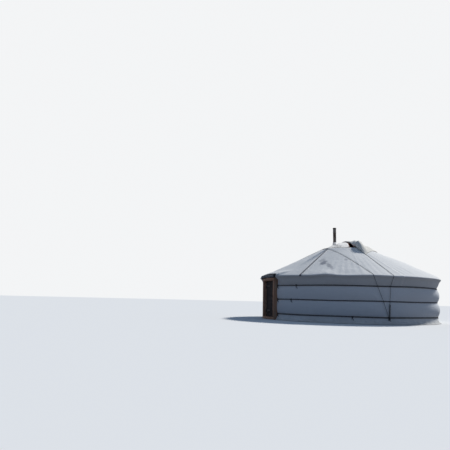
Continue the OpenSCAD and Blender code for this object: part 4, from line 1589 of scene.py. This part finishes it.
@dataclass
class WallCloth:
    """The wall canvas in two halves, the skirt at its foot and the felt behind it."""

    tent: Tent
    routes: Routes
    bulge: float = 0.034
    loose_az: float = 135.0
    top: float = 1.44
    foot: float = 0.2323
    cloth_width: float = 27.5
    felt_top: float = 1.452
    felt_foot: float = 0.006
    canvas_flat: Span = (9.0, 1.26)
    skirt_flat: Span = (17.9, 0.33)
    front_felt_flat: Span = (4.17, 1.46)
    back_felt_flat: Span = (4.67, 1.46)
    felt_sheet_t: float = 0.016

    def build(self) -> None:
        """Makes the canvas, the skirt and the felt."""
        for label, side in (("right", 1), ("left", -1)):
            piece = dress(self.canvas(label, side), WALL_CANVAS, node=f"wall_canvas_{label}")
            for end, flat in (("front", self.front_felt_flat), ("back", self.back_felt_flat)):
                felt = self.felt(f"{end}_{label}", side, end == "front")
                dress(felt, WOOL, node=f"wall_felt_{end}_{label}")
        skirt = dress(self.skirt(), SKIRT_CANVAS, node="ground_skirt")

    def columns(self, side: int, start: float, end: float, count: int) -> Array:
        """Returns azimuths in rising order between two distances from the door."""
        az = np.linspace(start, end, count)
        return az if side > 0 else -az[::-1]

    def canvas(self, label: str, side: int) -> Piece:
        """Makes the wall canvas of one side.

        Args:
            label: Which side it is.
            side: 1 on the right and -1 on the left.

        Returns:
            The canvas, drawn in by the girths and bulging between them.
        """
        lap = 1.0 if side > 0 else 0.0
        az = self.columns(side, self.tent.door_az + 0.02, 180.0 + lap, 320)
        z = np.linspace(self.top, self.foot - 0.012, 52)[:, None] + az * 0
        lower, middle, upper = self.tent.girth_z
        ring = round_points(RING, az, z)
        slack = 1.0 + 0.28 * ripple(ring, (0.9, 0.9, 2.0), 41) + 0.12 * ripple(ring, (0.3, 0.3, 0.6), 42)
        slack += 1.5 * bell(np.abs(az), self.loose_az, 12.0)
        out = np.zeros_like(z)
        for low, high in ((lower, middle), (middle, upper)):
            share = np.clip((z - low) / (high - low), 0.0, 1.0)
            out += np.sin(math.pi * share) ** 0.8 * self.bulge * slack
        behind = smoothstep(upper, upper + 0.06, z)
        held = bell(self.routes.nearest(round_points(self.tent.wall_out + 0.02, az, z)), 0.0, 0.16)
        out = out * (1 - 0.80 * held) - 0.004 * behind
        to_girth = np.min([np.abs(z - g) for g in self.tent.girth_z], axis=0)
        pull = np.exp(-to_girth / 0.11) * smoothstep(0.004, 0.03, to_girth)
        fan = round_points(RING, az, z * 0.45)
        folds = ripple(fan, (0.10, 0.10, 0.25), 43) + 0.6 * ripple(fan, (0.045, 0.045, 0.2), 44)
        broad = 0.0035 * ripple(fan, (0.35, 0.35, 0.2), 45) * smoothstep(0.0, 0.08, to_girth)
        r = self.tent.wall_out + out - 0.0006
        cloth = Cloth(f"wall_canvas_cloth_{label}", round_points(r, az, z), CANVAS_T)
        push = (0.0055 * folds * pull + broad) * (1 - behind)
        push += 0.0020 * seam(az, self.cloth_width, 3.03, 0.013) + self.edge(az, side)
        dents = self.routes.dent(cloth.points, 0.016, 0.045)
        push += np.where(dents < 0, dents * smoothstep(0.004, 0.014, out), dents) * (1 - behind)
        cloth.push(push)
        return cloth.build()

    def edge(self, az: Array, side: int) -> Array:
        """Returns the hem beside the door and the lap at the back."""
        off = np.abs(az) - self.tent.door_az
        hem = 0.002 * smoothstep(1.3, 0.8, off)
        lap = 0.006 * smoothstep(178.2, 179.4, np.abs(az)) * (side > 0)
        return hem + lap

    def skirt(self) -> Piece:
        """Makes the skirt, gathered under the lower girth and spread on the ground.

        Returns:
            The skirt as one sheet.
        """
        start = self.tent.door_az + 0.05
        az = np.linspace(start, 360 - start, 640)
        lower = self.tent.girth_z[0]
        base = self.tent.wall_out
        knees = [
            (base + 0.010, lower + 0.052), (base + 0.004, lower + 0.030), (base - 0.0005, lower + 0.008),
            (base - 0.0005, lower - 0.010), (base + 0.010, lower - 0.055), (base + 0.024, lower - 0.110),
            (base + 0.050, lower - 0.165), (base + 0.084, 0.012), (base + 0.104, 0.005),
        ]
        profile = rounded([(r, z, 0.0) for r, z in knees], 0.013)[:, :2]
        ring = round_points(RING, az, 0.0)
        down = np.linspace(0, 1, len(profile))[:, None]
        spread = 1.0 + 0.30 * ripple(ring, (0.55, 0.55, 1), 51)
        spread += 0.16 * ripple(ring, (0.17, 0.17, 1), 52)
        r = base + (profile[:, :1] - base) * spread
        crumple = round_points(RING, az, profile[:, 1:])
        loose = smoothstep(0.30, 0.75, down)
        folds = ripple(crumple, (0.08, 0.08, 0.3), 53) + 0.7 * ripple(crumple, (0.036, 0.036, 0.12), 54)
        r = r + 0.010 * folds * loose + 0.003 * folds * smoothstep(0.2, 0.0, down)
        z = profile[:, 1:] + 0.0 * r
        lumps = np.clip(ripple(ring, (0.22, 0.22, 1), 55), 0, 1)
        z = z + 0.030 * lumps * smoothstep(0.72, 0.92, down) * smoothstep(1.02, 0.94, down)
        z[:3] += 0.006 * ripple(ring, (0.09, 0.09, 1), 56)
        cloth = Cloth("ground_skirt_cloth", round_points(r, az, np.maximum(z, 0.0086)), CANVAS_T)
        return cloth.build()

    def felt(self, label: str, side: int, front: bool) -> Piece:
        """Makes a quarter of the wall felt as it is seen through the lattice.

        Args:
            label: Which quarter it is.
            side: 1 on the right and -1 on the left.
            front: Whether it is beside the door.

        Returns:
            The quarter, which swells a little into the lattice's gaps.
        """
        start, end = (self.tent.door_az + 0.1, 89.97) if front else (90.03, 179.97)
        az = self.columns(side, start, end, 116)
        z = np.linspace(self.felt_top, self.felt_foot, 38)[:, None] + az * 0
        laths = Lattice(self.tent)
        along = np.radians(az) * self.tent.lattice_r - laths.head * self.tent.door_poles / 2
        lean = (z - laths.end) / laths.slope
        gaps = [np.sin(math.pi * (along + way) / laths.head) ** 2 for way in (lean, -lean)]
        r = self.tent.lattice_r + 0.0012 - 0.009 * gaps[0] * gaps[1]
        points = round_points(r, az, z)
        return Cloth(f"wall_felt_sheet_{label}", points, self.felt_sheet_t, inner_face=True).build()


@dataclass
class CrownCover:
    """The square cover, folded back across the crown and bunched up on the right.

    Its shape is set in a frame of its own, in which the fold lies along X.
    """

    tent: Tent
    routes: Routes
    front: float = 0.045
    fold_rise: float = 0.018
    bunch_rise: float = 0.205
    bunch_x: float = 1.0
    layer: float = 0.022
    thickness: float = 0.005
    side: float = 2.36

    def build(self) -> None:
        """Makes the folded cover."""
        piece = dress(self.cloth(), COVER_CANVAS, node="crown_cover")

    def under(self, r: Array) -> Array:
        """Returns the height of what the cover lies on."""
        ring_in = self.tent.crown_r - 0.080
        dome = self.tent.dome_top(np.minimum(r, ring_in))
        ring = np.maximum(self.tent.dome_top(ring_in), self.tent.ring_top)
        return np.where(r < ring_in, dome, np.where(r < self.tent.crown_r, ring, self.tent.roof_top(r)))

    def bunch(self, x: Array, y: Array) -> Array:
        """Returns the share of the bunched part's height, which crosses the fold at a slant."""
        along = bell(x, self.bunch_x, np.where(x < self.bunch_x, 0.60, 0.33))
        return along * bell(y + 0.23 * x, 0.30, 0.17)

    def swell(self, x: Array, y: Array) -> Array:
        """Returns how far both layers stand off what they lie on, without the bunched part."""
        t = np.minimum(1, np.abs(x) / self.routes.cover_reach)
        rise = self.fold_rise * (1 - t**2) * bell(y, -self.front, 0.40)
        back = np.clip(y / 0.5, 0, 1)
        rise += (0.014 + 0.035 * back) * bell(np.hypot(x, y), self.tent.crown_r, 0.12)
        return rise + 0.024 * bell(y, self.routes.rope_y + 0.06, 0.30)

    def creases(self, x: Array, y: Array, v: Array) -> Array:
        """Draws the cover's sags, and the small folds that run along its bunched part.

        Args:
            x: Places along the fold.
            y: Places across it.
            v: Share of the way from the fold to the back corner.

        Returns:
            The height of each place over the smooth cover.
        """
        flat = stacked(x, y, 0.0)
        taut = smoothstep(0.03, 0.35, v)
        sag = 0.006 * ripple(flat, (0.34, 0.34, 1), 61) + 0.003 * ripple(flat, (0.11, 0.11, 1), 62)
        fan = stacked(np.arctan2(x, y + 0.6) * 1.5, np.hypot(x, y) * 0.3, 0.0)
        slanted = stacked(x * 0.30, y + 0.23 * x, 0.0)
        gathers = ripple(slanted, (0.07, 0.055, 1), 65) + 0.5 * ripple(slanted, (0.03, 0.026, 1), 66)
        small = 0.022 * gathers * self.bunch(x, y) ** 0.5
        return taut * sag + 0.005 * ripple(fan, (0.12, 0.5, 1), 63) * taut + small

    def cloth(self) -> Piece:
        """Lays the lower layer on the crown, the front of the fold and the upper layer.

        Returns:
            The cover as one folded sheet.
        """
        reach = self.routes.cover_reach
        layer_v = np.concatenate([np.linspace(0.985, 0.03, 48), (0.022, 0.014, 0.006)])
        face = np.linspace(0, 1, 13)[1:-1]
        v = np.concatenate([layer_v, face * 0, layer_v[::-1]])
        rise = np.concatenate([layer_v * 0, face, layer_v * 0 + 1])[:, None]
        u, v = np.meshgrid(np.linspace(-1, 1, 141), v)
        x = u * (reach * (1 - v) + 0.030)
        y = -self.front * (1 - v) * (1 - u**2) + reach * v
        bunch = self.bunch(x, y)
        side = smoothstep(1.0, 0.86, np.abs(u))
        corner = np.clip((reach + 0.030 - np.hypot(x, y)) / 0.2, 0, 1)
        roll = 0.030 * bunch * bell(v * reach, 0.0, 0.05)
        at_face = bell(v * reach, 0.0, 0.03)
        upper = self.layer * (0.2 + 0.8 * side) + self.bunch_rise * bunch * corner - roll
        pleats = ripple(stacked(x, rise * 0.05, 0.0), (0.055, 0.06, 1), 67)
        out = 0.006 + 0.035 * bunch * np.sin(math.pi * rise * 0.62)
        y = y - at_face * (out + 0.020 * pleats * bunch * np.sin(math.pi * rise))
        z = self.under(np.hypot(x, y)) + 0.0055 + 0.003 * side + self.swell(x, y) * (0.45 + 0.55 * side)
        z += rise * upper + self.creases(x, y, v) * side * (0.15 + 0.85 * rise)
        turn = math.radians(self.routes.cover_az - 90.0)
        cos, sin = math.cos(turn), math.sin(turn)
        points = stacked(x * cos - y * sin, x * sin + y * cos, z)
        return Cloth("crown_cover_cloth", points[::-1], self.thickness).build()


@dataclass
class DoorFlap:
    """The door's canvas flap, rolled up over the lintel with its ties."""

    tent: Tent
    pitch: float = 0.0062
    thickness: float = 0.0026
    tie_places: tuple[float, float, float] = (-0.34, 0.0, 0.34)

    def build(self) -> None:
        """Makes the roll and its ties."""
        low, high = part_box("door_flap_roll")
        centre = (low + high) / 2
        radius = (high.z - low.z) / 2 - 0.002
        core = 0.012
        turns = (radius - core) / self.pitch
        angle = np.linspace(0, math.tau * turns, int(22 * turns))
        spiral = core + self.pitch * angle / math.tau
        x = np.linspace(low.x + 0.004, high.x - 0.004, 34)
        dip = 0.0022 * ripple(stacked(x, 0.0, 0.0), (0.07, 1, 1), 71) - 0.004 * self.pinch(x, centre.x)
        rows = []
        for a, r in zip(angle, spiral):
            r = r * (1 + dip / radius)
            rows.append(stacked(x, centre.y + r * np.sin(a), centre.z + r * np.cos(a)))
        cloth = Cloth("door_flap_cloth", np.array(rows), self.thickness)
        # The roll's near-black canvas paints the shade under the raised eave.
        piece = dress(cloth.build(), SHADED_FLAP_CANVAS, node="door_flap_roll")
        ties = dress(self.ties(centre, radius), HAIR_BAND)

    def pinch(self, x: Array, middle: float) -> Array:
        """Returns how much the ties draw the roll in."""
        return sum(bell(x, middle + place, 0.02) for place in self.tie_places)

    def ties(self, centre: Vector, radius: float) -> Piece:
        """Ties three tapes round the roll.

        Args:
            centre: Middle of the roll.
            radius: Its radius.

        Returns:
            The tapes as one piece.
        """
        parts = []
        turns = np.linspace(0, math.tau * 0.985, 30)
        for place in self.tie_places:
            r = radius - 0.0015
            ring = [(centre.x + place + 0.002 * math.sin(3 * a), centre.y + r * math.sin(a),
                     centre.z + r * math.cos(a)) for a in turns]
            path = rounded(ring, 0.007)
            up = unit(path - [centre.x + place, centre.y, centre.z])
            parts.append(flat_strip("tie", path, up, 0.022, 0.002))
        return joined("door_flap_ties", parts)


@dataclass
class Lattice:
    """The wall lattice: two layers of laths tied where they cross."""

    tent: Tent
    width: float = 0.026
    layer: float = 0.0125
    heads: int = 16
    rows: int = 8
    end: float = 0.045
    names: tuple[str, ...] = ("front_right", "right", "back", "left", "front_left")

    def build(self) -> None:
        """Makes the five sections."""
        for index, label in enumerate(self.names):
            dress(self.section(label, index), LATH_WOOD, node=f"lattice_{label}")
            dress(self.knots(label, index), THONG)

    @property
    def head(self) -> float:
        """Distance between two lath heads along the wall."""
        return math.radians(self.tent.pole_step) * self.tent.lattice_r

    @property
    def row(self) -> float:
        """Height between two rows of crossings."""
        return (self.tent.lattice_h - 2 * self.end) / self.rows

    @property
    def slope(self) -> float:
        """Rise of a lath for each metre along the wall."""
        return 2 * self.row / self.head

    def middle_az(self, index: int) -> float:
        """Azimuth of a section's middle."""
        return (self.tent.door_poles / 2 + (index + 0.5) * self.heads) * self.tent.pole_step

    def lath(self) -> Piece:
        """Models one lath a metre long, with a rounded outer face.

        Returns:
            The lath, along X.
        """
        piece = block("lath", (-0.5, 0.0, -self.width / 2), (0.5, self.layer, self.width / 2))
        for k in range(1, 10):
            cut(piece, (k / 10 - 0.5, 0, 0), (1, 0, 0))
        with editing(piece):
            choose(piece, lambda face: face.normal.y > 0.9)
            bpy.ops.mesh.inset(thickness=0.004, use_boundary=True)
            bpy.ops.transform.translate(value=(0, 0.0015, 0))
        return length_map(piece, 0)

    def section(self, label: str, index: int) -> Piece:
        """Lays out a section flat, and then bends it round the wall.

        Args:
            label: The section's name.
            index: Its number from the door.

        Returns:
            The bent section.
        """
        half = self.heads * self.head / 2
        in_wall = self.tent.lattice_h - 0.0045
        places = []
        for lean in (1, -1):
            depth = 0.0004 if lean > 0 else self.layer + 0.0008
            for k in range(-2 * self.heads, 2 * self.heads):
                foot = (k + 0.5 * (self.heads % 2)) * self.head - lean * self.end / self.slope
                ends = [lean * (x - foot) * self.slope for x in (-half, half)]
                z = sorted(max(0.0045, min(in_wall, end)) for end in ends)
                if z[1] - z[0] < 0.05:
                    continue
                x = [foot + lean * h / self.slope for h in z]
                length = math.hypot(x[1] - x[0], z[1] - z[0])
                turn = math.atan2(z[1] - z[0], x[1] - x[0])
                middle = ((x[0] + x[1]) / 2, depth, (z[0] + z[1]) / 2)
                scale = Matrix.Diagonal((length - 0.006, 1.0, 1.0, 1.0))
                places.append(Matrix.Translation(middle) @ Matrix.Rotation(-turn, 4, "Y") @ scale)
        piece = repeated(f"lattice_laths_{label}", self.lath(), places)
        return self.bent(piece, index)

    def bent(self, piece: Piece, index: int) -> Piece:
        """Bends a flat piece to the wall's radius and turns it to its section.

        Args:
            piece: The flat piece.
            index: The section's number from the door.

        Returns:
            The same piece.
        """
        xs = [v.co.x for v in piece.data.vertices]
        angle = (max(xs) - min(xs)) / self.tent.lattice_r
        modified(piece, "SIMPLE_DEFORM", deform_method="BEND", deform_axis="Z", angle=angle)
        shift = Matrix.Translation((0, -self.tent.lattice_r, 0))
        piece.data.transform(turned(self.middle_az(index)) @ shift)
        return piece

    def knots(self, label: str, index: int) -> Piece:
        """Ties a thong at every crossing of a section.

        Args:
            label: The section's name.
            index: Its number from the door.

        Returns:
            The bent row of knots.
        """
        clear()
        bpy.ops.mesh.primitive_ico_sphere_add(subdivisions=1, radius=0.0075)
        master = settle("thong")
        with editing(master):
            bpy.ops.transform.resize(value=(1.0, 0.5, 1.0))
        length_map(master, 0)
        places = []
        for j in range(self.rows + 1):
            for k in range(self.heads + 1):
                x = (k - self.heads / 2 + (0.5 if j % 2 else 0.0)) * self.head
                if abs(x) < self.heads * self.head / 2 - 0.02:
                    spot = (x, 2 * self.layer + 0.003, self.end + j * self.row)
                    places.append(Matrix.Translation(spot))
        return self.bent(repeated(f"lattice_thongs_{label}", master, places), index)


@dataclass
class Poles:
    """The roof poles, with the cord loops that hold their lower ends."""

    tent: Tent
    past: float = 0.065

    def build(self) -> None:
        """Makes the poles of both sides."""
        half = (self.tent.poles - 1) // 2
        for label, numbers in (("right", range(half + 1)), ("left", range(half + 1, self.tent.poles))):
            places = [turned(k * self.tent.pole_step) for k in numbers]
            piece = repeated(f"roof_pole_set_{label}", self.pole(), places)
            dress(piece, POLE_WOOD, node=f"roof_poles_{label}")
            dress(repeated(f"roof_pole_loops_{label}", self.loop(), places), THONG)

    def slant(self, r: float, off: float = 0.0) -> Matrix:
        """Returns the place on the front pole's axis at a radius, with +X outwards along it."""
        place = Vector((0, -r, self.tent.pole_axis(r) + off))
        turn = turned(-90) @ Matrix.Rotation(self.tent.roof_angle, 4, "Y")
        return Matrix.Translation(place) @ turn

    def pole(self) -> Piece:
        """Models the pole over the door: tapered, with a squared upper end.

        Returns:
            The pole, in its place.
        """
        inner = self.tent.crown_r + PLAY + self.tent.pole_d / 2 * math.sin(self.tent.roof_angle)
        outer = self.tent.lattice_r + self.past
        length = (outer - inner) / self.tent.cos
        radius = self.tent.pole_d / 2
        clear()
        bpy.ops.mesh.primitive_cone_add(
            vertices=10, radius1=radius * 0.98, radius2=radius * 0.86, depth=length,
            rotation=(0, -math.pi / 2, 0),
        )
        piece = settle("pole")
        for share in (-0.42, -0.36, 0.0, 0.36):
            cut(piece, (share * length, 0, 0), (1, 0, 0))
        with editing(piece):
            for sign in (1, -1):
                choose(piece, lambda face: sign * face.normal.x > 0.9)
                bpy.ops.mesh.inset(thickness=0.004)
                bpy.ops.transform.translate(value=(sign * 0.0002, 0, 0))
        bpy.ops.object.shade_smooth_by_angle(angle=math.radians(50))
        length_map(piece, 0)
        piece.data.transform(self.slant((inner + outer) / 2))
        return piece

    def loop(self) -> Piece:
        """Models the cord loop that ties a pole to its lattice head.

        Returns:
            The loop of the pole over the door, in its place.
        """
        clear()
        bpy.ops.mesh.primitive_torus_add(
            major_radius=self.tent.pole_d / 2 + 0.002, minor_radius=0.0028, major_segments=12,
            minor_segments=5, rotation=(0, math.pi / 2 + 0.25, 0),
        )
        piece = settle("loop")
        length_map(piece, 1)
        piece.data.transform(self.slant(self.tent.lattice_r - 0.035))
        return piece


@dataclass
class Crown:
    """The crown ring, its spokes and hub, and the two posts under it."""

    tent: Tent

    def build(self) -> None:
        """Makes the crown and the posts."""
        for node, finish, width in (
            ("crown_ring", CROWN_WOOD, 0.008), ("crown_spokes", CROWN_WOOD, 0.005),
            ("crown_hub", CROWN_WOOD, 0.008), ("support_post_right", POST_WOOD, 0.005),
            ("support_post_left", POST_WOOD, 0.005),
        ):
            dress(copy_of(node, f"{node}_painted", width), finish)
        self.pegs()

    def pegs(self) -> None:
        """Drives wooden pegs through the ring into the spokes' ends."""
        outline = [(0.0, 0.0), (0.009, 0.0), (0.0095, 0.004), (0.007, 0.009), (0.0, 0.011)]
        peg = length_map(spun("peg", outline, 10), 2)
        r = self.tent.crown_r - 0.040
        places = [
            turned(22.5 + 45 * k) @ Matrix.Translation((side, -r, self.tent.ring_top))
            for k in range(8) for side in (-0.012, 0.012)
        ]
        dress(repeated("crown_pegs", peg, places), CROWN_WOOD)


@dataclass
class StovePipe:
    """The stove pipe with its cap, collar and the flashing sheet in the crown."""

    tent: Tent

    def build(self) -> None:
        """Makes the pipe and cap, and finishes the sheet round them."""
        low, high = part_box("stove_pipe")
        centre = (low + high) / 2
        radius = (high.x - low.x) / 2
        self.pipe(Vector((centre.x, centre.y, low.z)), radius, high.z - low.z)
        self.cap(centre, radius)
        dress(copy_of("pipe_flashing", "pipe_flashing_sheet", 0.0008), ZINC_SHEET)
        dress(copy_of("pipe_collar", "pipe_collar_sheet", 0.0015), ZINC_SHEET)
        self.screws(centre)

    def pipe(self, foot: Vector, radius: float, length: float) -> None:
        """Makes the pipe from sections that fit into each other, with a bead at each joint.

        Args:
            foot: Middle of its lower end.
            radius: Its outer radius.
            length: Its length.
        """
        wall = 0.002
        outer = [(radius, 0.0)]
        for joint in (0.30, 0.86):
            z = joint * length
            outer += [(radius, z - 0.016), (radius + 0.0045, z - 0.011), (radius + 0.0045, z - 0.004)]
            outer += [(radius + 0.0015, z), (radius + 0.0015, z + 0.030), (radius, z + 0.032)]
        outer += [(radius, length)]
        inner = [(radius - wall, length), (radius - wall, 0.0)]
        piece = spun("stove_pipe_sections", [*outer, *inner], 40, foot)
        dress(piece, PIPE_STEEL, node="stove_pipe")

    def cap(self, centre: Vector, pipe_radius: float) -> None:
        """Makes the cap with a rolled rim and a pressed top.

        Args:
            centre: Middle of the pipe.
            pipe_radius: Radius of the pipe.
        """
        low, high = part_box("pipe_cap")
        radius = (high.x - low.x) / 2
        height = high.z - low.z
        inside = pipe_radius + 0.0006
        outline = [
            (0.0, height), (radius * 0.45, height - 0.001), (radius * 0.86, height - 0.004),
            (radius - 0.003, height - 0.008), (radius - 0.001, height - 0.012), (radius - 0.002, 0.010),
            (radius, 0.006), (radius, 0.002), (radius - 0.002, 0.0), (inside, 0.0),
            (inside, height * 0.5), (0.0, height * 0.5),
        ]
        piece = spun("pipe_cap_pressed", outline, 40, (centre.x, centre.y, low.z))
        dress(piece, PIPE_STEEL, node="pipe_cap")

    def screws(self, centre: Vector) -> None:
        """Sets screws along the flashing's edges."""
        outline = [
            (0.0, 0.0), (0.009, 0.0), (0.009, 0.0012), (0.006, 0.0014), (0.0055, 0.0042),
            (0.003, 0.0058), (0.0, 0.006),
        ]
        screw = spun("screw", outline, 10)
        places = []
        for side in (-1, 1):
            for r in (0.25, 0.42, 0.58, 0.71):
                places += [(r, side * 22.5), (r, side * (67.5 - 0.6 / r))]
        places += [(0.72, az) for az in (-56, -45, -34, -10, 0, 10, 34, 45, 56)]
        matrices = []
        for r, az in places:
            tilt = math.asin(r / self.tent.dome_r)
            z = float(self.tent.dome_top(r)) + 0.0033 / math.cos(tilt)
            spot = Matrix.Translation(Vector((0, -r, z))) @ Matrix.Rotation(tilt, 4, "X")
            matrices.append(turned(az) @ spot)
        dress(repeated("flashing_screws", screw, matrices), ZINC_SHEET)


@dataclass
class DoorSet:
    """The door frame, the hinged leaf and its ironwork."""

    tent: Tent
    stile: float = 0.105
    panel_in: float = 0.014
    boards: int = 4
    hinge_inset: float = 0.212
    eye_h: float = 0.044

    def build(self) -> None:
        """Makes the frame, the leaf and the ironwork."""
        for node, finish in (
            ("door_threshold", RAIL_WOOD), ("door_lintel", RAIL_WOOD),
            ("door_jamb_left", FRAME_WOOD), ("door_jamb_right", FRAME_WOOD),
        ):
            dress(copy_of(node, f"{node}_worn", 0.005), finish)
        self.leaf()
        for node, width, body in (
            ("door_hinge_straps", 0.0012, DOOR_BODY), ("door_handle", 0.0015, DOOR_BODY),
            ("door_hinge_pins", 0.0008, TENT_BODY),
        ):
            dress(copy_of(node, f"{node}_forged", width), IRON, body)
        self.bolts()
        self.frame_pegs()

    def leaf(self) -> None:
        """Frames two sunk panels in the leaf and fills them with boards."""
        low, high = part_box("door_leaf")
        middle = (low.z + high.z) / 2
        piece = block("door_leaf_framed", low, high)
        half = high.x - self.stile
        for x in (-half, half):
            cut(piece, (x, 0, 0), (1, 0, 0))
        rail = self.stile / 2
        edges = (low.z + self.stile, middle - rail, middle + rail, high.z - self.stile)
        for z in edges:
            cut(piece, (0, 0, z), (0, 0, 1))

        def in_panel(face: bmesh.types.BMFace) -> bool:
            """Tells whether a face is the front of one of the two panels."""
            centre = face.calc_center_median()
            inside = edges[0] < centre.z < edges[1] or edges[2] < centre.z < edges[3]
            return face.normal.y < -0.9 and abs(centre.x) < half and inside

        with editing(piece):
            choose(piece, in_panel)
            bpy.ops.mesh.inset(thickness=0.003)
            bpy.ops.mesh.extrude_region_move(TRANSFORM_OT_translate={"value": (0, self.panel_in, 0)})
            bpy.ops.mesh.inset(thickness=0.006)
        soften(piece, 0.0025)
        # The leaf's near-black wood paints the shade of the doorway recess.
        dress(piece, SHADED_LEAF_WOOD, DOOR_BODY, "door_leaf")
        self.panel_boards(low.y + self.panel_in, half - 0.004, edges)

    def panel_boards(self, y: float, half: float, edges: Sequence[float]) -> None:
        """Fills both panels with upright boards.

        Args:
            y: Where the sunk face lies.
            half: Half of the panels' width.
            edges: Heights of the panels' lower and upper edges, in order.
        """
        width = 2 * half / self.boards
        pieces = []
        for low, high in ((edges[0], edges[1]), (edges[2], edges[3])):
            for k in range(self.boards):
                x = -half + k * width
                near = (x + 0.0012, y - 0.007, low + 0.004)
                far = (x + width - 0.0012, y + 0.002, high - 0.004)
                pieces.append(soften(block("board", near, far), 0.0022))
        # The boards' near-black wood also paints the shade of the doorway recess.
        dress(joined("door_leaf_boards", pieces), SHADED_LEAF_WOOD, DOOR_BODY)

    def bolts(self) -> None:
        """Sets round bolt heads on the straps and plates under the handle."""
        head = [(0.0, 0.0), (0.010, 0.0), (0.0095, 0.003), (0.006, 0.006), (0.0, 0.0072)]
        bolt = spun("bolt", head, 12)
        leaf_low, leaf_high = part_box("door_leaf")
        strap_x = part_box("door_hinge_straps")[0].x
        places = [
            Matrix.Translation((strap_x + reach, leaf_low.y - 0.0053, z)) @ turned(90, "X")
            for z in (leaf_low.z + self.hinge_inset, leaf_high.z - self.hinge_inset + self.eye_h)
            for reach in (0.07, 0.16, 0.25, 0.315)
        ]
        dress(repeated("door_strap_bolts", bolt, places), IRON, DOOR_BODY)
        plate = [(0.0, 0.0), (0.022, 0.0), (0.021, 0.0025), (0.017, 0.004), (0.0, 0.004)]
        rose = spun("rose", plate, 16)
        low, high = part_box("door_handle")
        x, y = (low.x + high.x) / 2, leaf_low.y - 0.0001
        ends = (low.z + 0.026, high.z - 0.026)
        spots = [Matrix.Translation((x, y, z)) @ turned(90, "X") for z in ends]
        dress(repeated("door_handle_plates", rose, spots), IRON, DOOR_BODY)

    def frame_pegs(self) -> None:
        """Shows the wooden pegs at the corners of the frame."""
        outline = [(0.0, -0.004), (0.0085, -0.004), (0.0085, 0.0015), (0.006, 0.0032), (0.0, 0.0035)]
        peg = length_map(spun("frame_peg", outline, 10), 2)
        low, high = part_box("door_jamb_right")
        places = [
            Matrix.Translation((side * x, low.y, z)) @ turned(90, "X")
            for side in (-1, 1) for z in (low.z + 0.04, high.z - 0.04) for x in (0.434, 0.482)
        ]
        dress(repeated("door_frame_pegs", peg, places), FRAME_WOOD)


@dataclass(frozen=True)
class Studio:
    """The camera at the photograph's place, soft light and a plain pale floor."""

    view_az: float = 58.0
    distance: float = 17.507
    eye: float = 0.650
    focal_px: float = 451.0
    image_px: float = 450.0
    yaw: float = -0.26383
    pitch: float = 0.16270
    roll: float = 0.024071
    key_az: float = 205.0
    key_height: float = 40.0
    key: float = 1.06
    fill: float = 0.18

    def build(self) -> None:
        """Sets the camera, the lamps, the world and the floor."""
        scene = bpy.context.scene
        scene.view_settings.view_transform = "Standard"
        self.camera()
        self.lamps()
        self.world()
        self.floor()

    def camera(self) -> None:
        """Places the camera as in the photograph."""
        place = Matrix.Translation((0.0, -self.distance, self.eye))
        for angle, axis in ((-self.yaw, "Z"), (math.pi / 2 + self.pitch, "X"), (self.roll, "Z")):
            place = place @ Matrix.Rotation(angle, 4, axis)
        lens = bpy.data.cameras.new("camera")
        lens.sensor_width = 36.0
        lens.lens = lens.sensor_width * self.focal_px / self.image_px
        lens.clip_end = 400.0
        camera = linked("camera", lens)
        camera.matrix_world = turned(self.view_az) @ place
        bpy.context.scene.camera = camera

    def lamps(self) -> None:
        """Hangs the soft key light behind the tent, where the sun was."""
        light = bpy.data.lights.new("key", "SUN")
        light.energy = self.key * math.pi
        light.angle = math.radians(7.0)
        light.color = (1.0, 0.985, 0.955)
        lamp = linked("key", light)
        lamp.matrix_world = turned(self.key_az) @ turned(90.0 - self.key_height, "X")

    @staticmethod
    def seen(graph: Graph) -> Socket:
        """Returns 1 for rays from the camera, from gloss and through glass."""
        path = graph.add("ShaderNodeLightPath")
        direct = graph.math("MAXIMUM", path.outputs["Is Camera Ray"], path.outputs["Is Glossy Ray"])
        return graph.math("MAXIMUM", direct, path.outputs["Is Transmission Ray"])

    def world(self) -> None:
        """Fills the shade softly and shows a plain pale background."""
        world = bpy.data.worlds.new("studio")
        world.use_nodes = True
        bpy.context.scene.world = world
        graph = Graph(world.node_tree)
        seen = self.seen(graph)
        graph.feed(world.node_tree.nodes["Background"], {
            "Color": graph.mix(seen, (0.66, 0.94, 1.42), (0.90, 0.91, 0.92)),
            "Strength": graph.ramp(seen, 0.0, 1.0, (self.fill, 1.0)),
        })

    def floor(self) -> None:
        """Lays the plain pale floor."""
        clear()
        bpy.ops.mesh.primitive_circle_add(
            vertices=64, radius=180.0, fill_type="NGON", location=(0, 0, -0.002)
        )
        floor = settle("floor")
        material = bpy.data.materials.new("floor")
        material.use_nodes = True
        graph = Graph(material.node_tree)
        colour = graph.mix(self.seen(graph), (0.20, 0.20, 0.21), (0.90, 0.90, 0.89))
        shader = material.node_tree.nodes["Principled BSDF"]
        graph.feed(shader, {"Base Color": colour, "Roughness": 1.0, "Specular IOR Level": 0.0})
        floor.data.materials.append(material)


def main() -> None:
    """Builds the tent's looks in order."""
    logging.basicConfig(level=logging.INFO, format="%(name)s: %(message)s")
    tent = Tent()
    routes = Routes(tent)
    Studio().build()
    for part in (
        RoofCloth(tent, routes), WallCloth(tent, routes), CrownCover(tent, routes), DoorFlap(tent),
        RopeWork(tent, routes), Lattice(tent), Poles(tent), Crown(tent), StovePipe(tent), DoorSet(tent),
    ):
        log.info("building %s", type(part).__name__)
        part.build()
    clear()


if __name__ == "__main__":
    main()
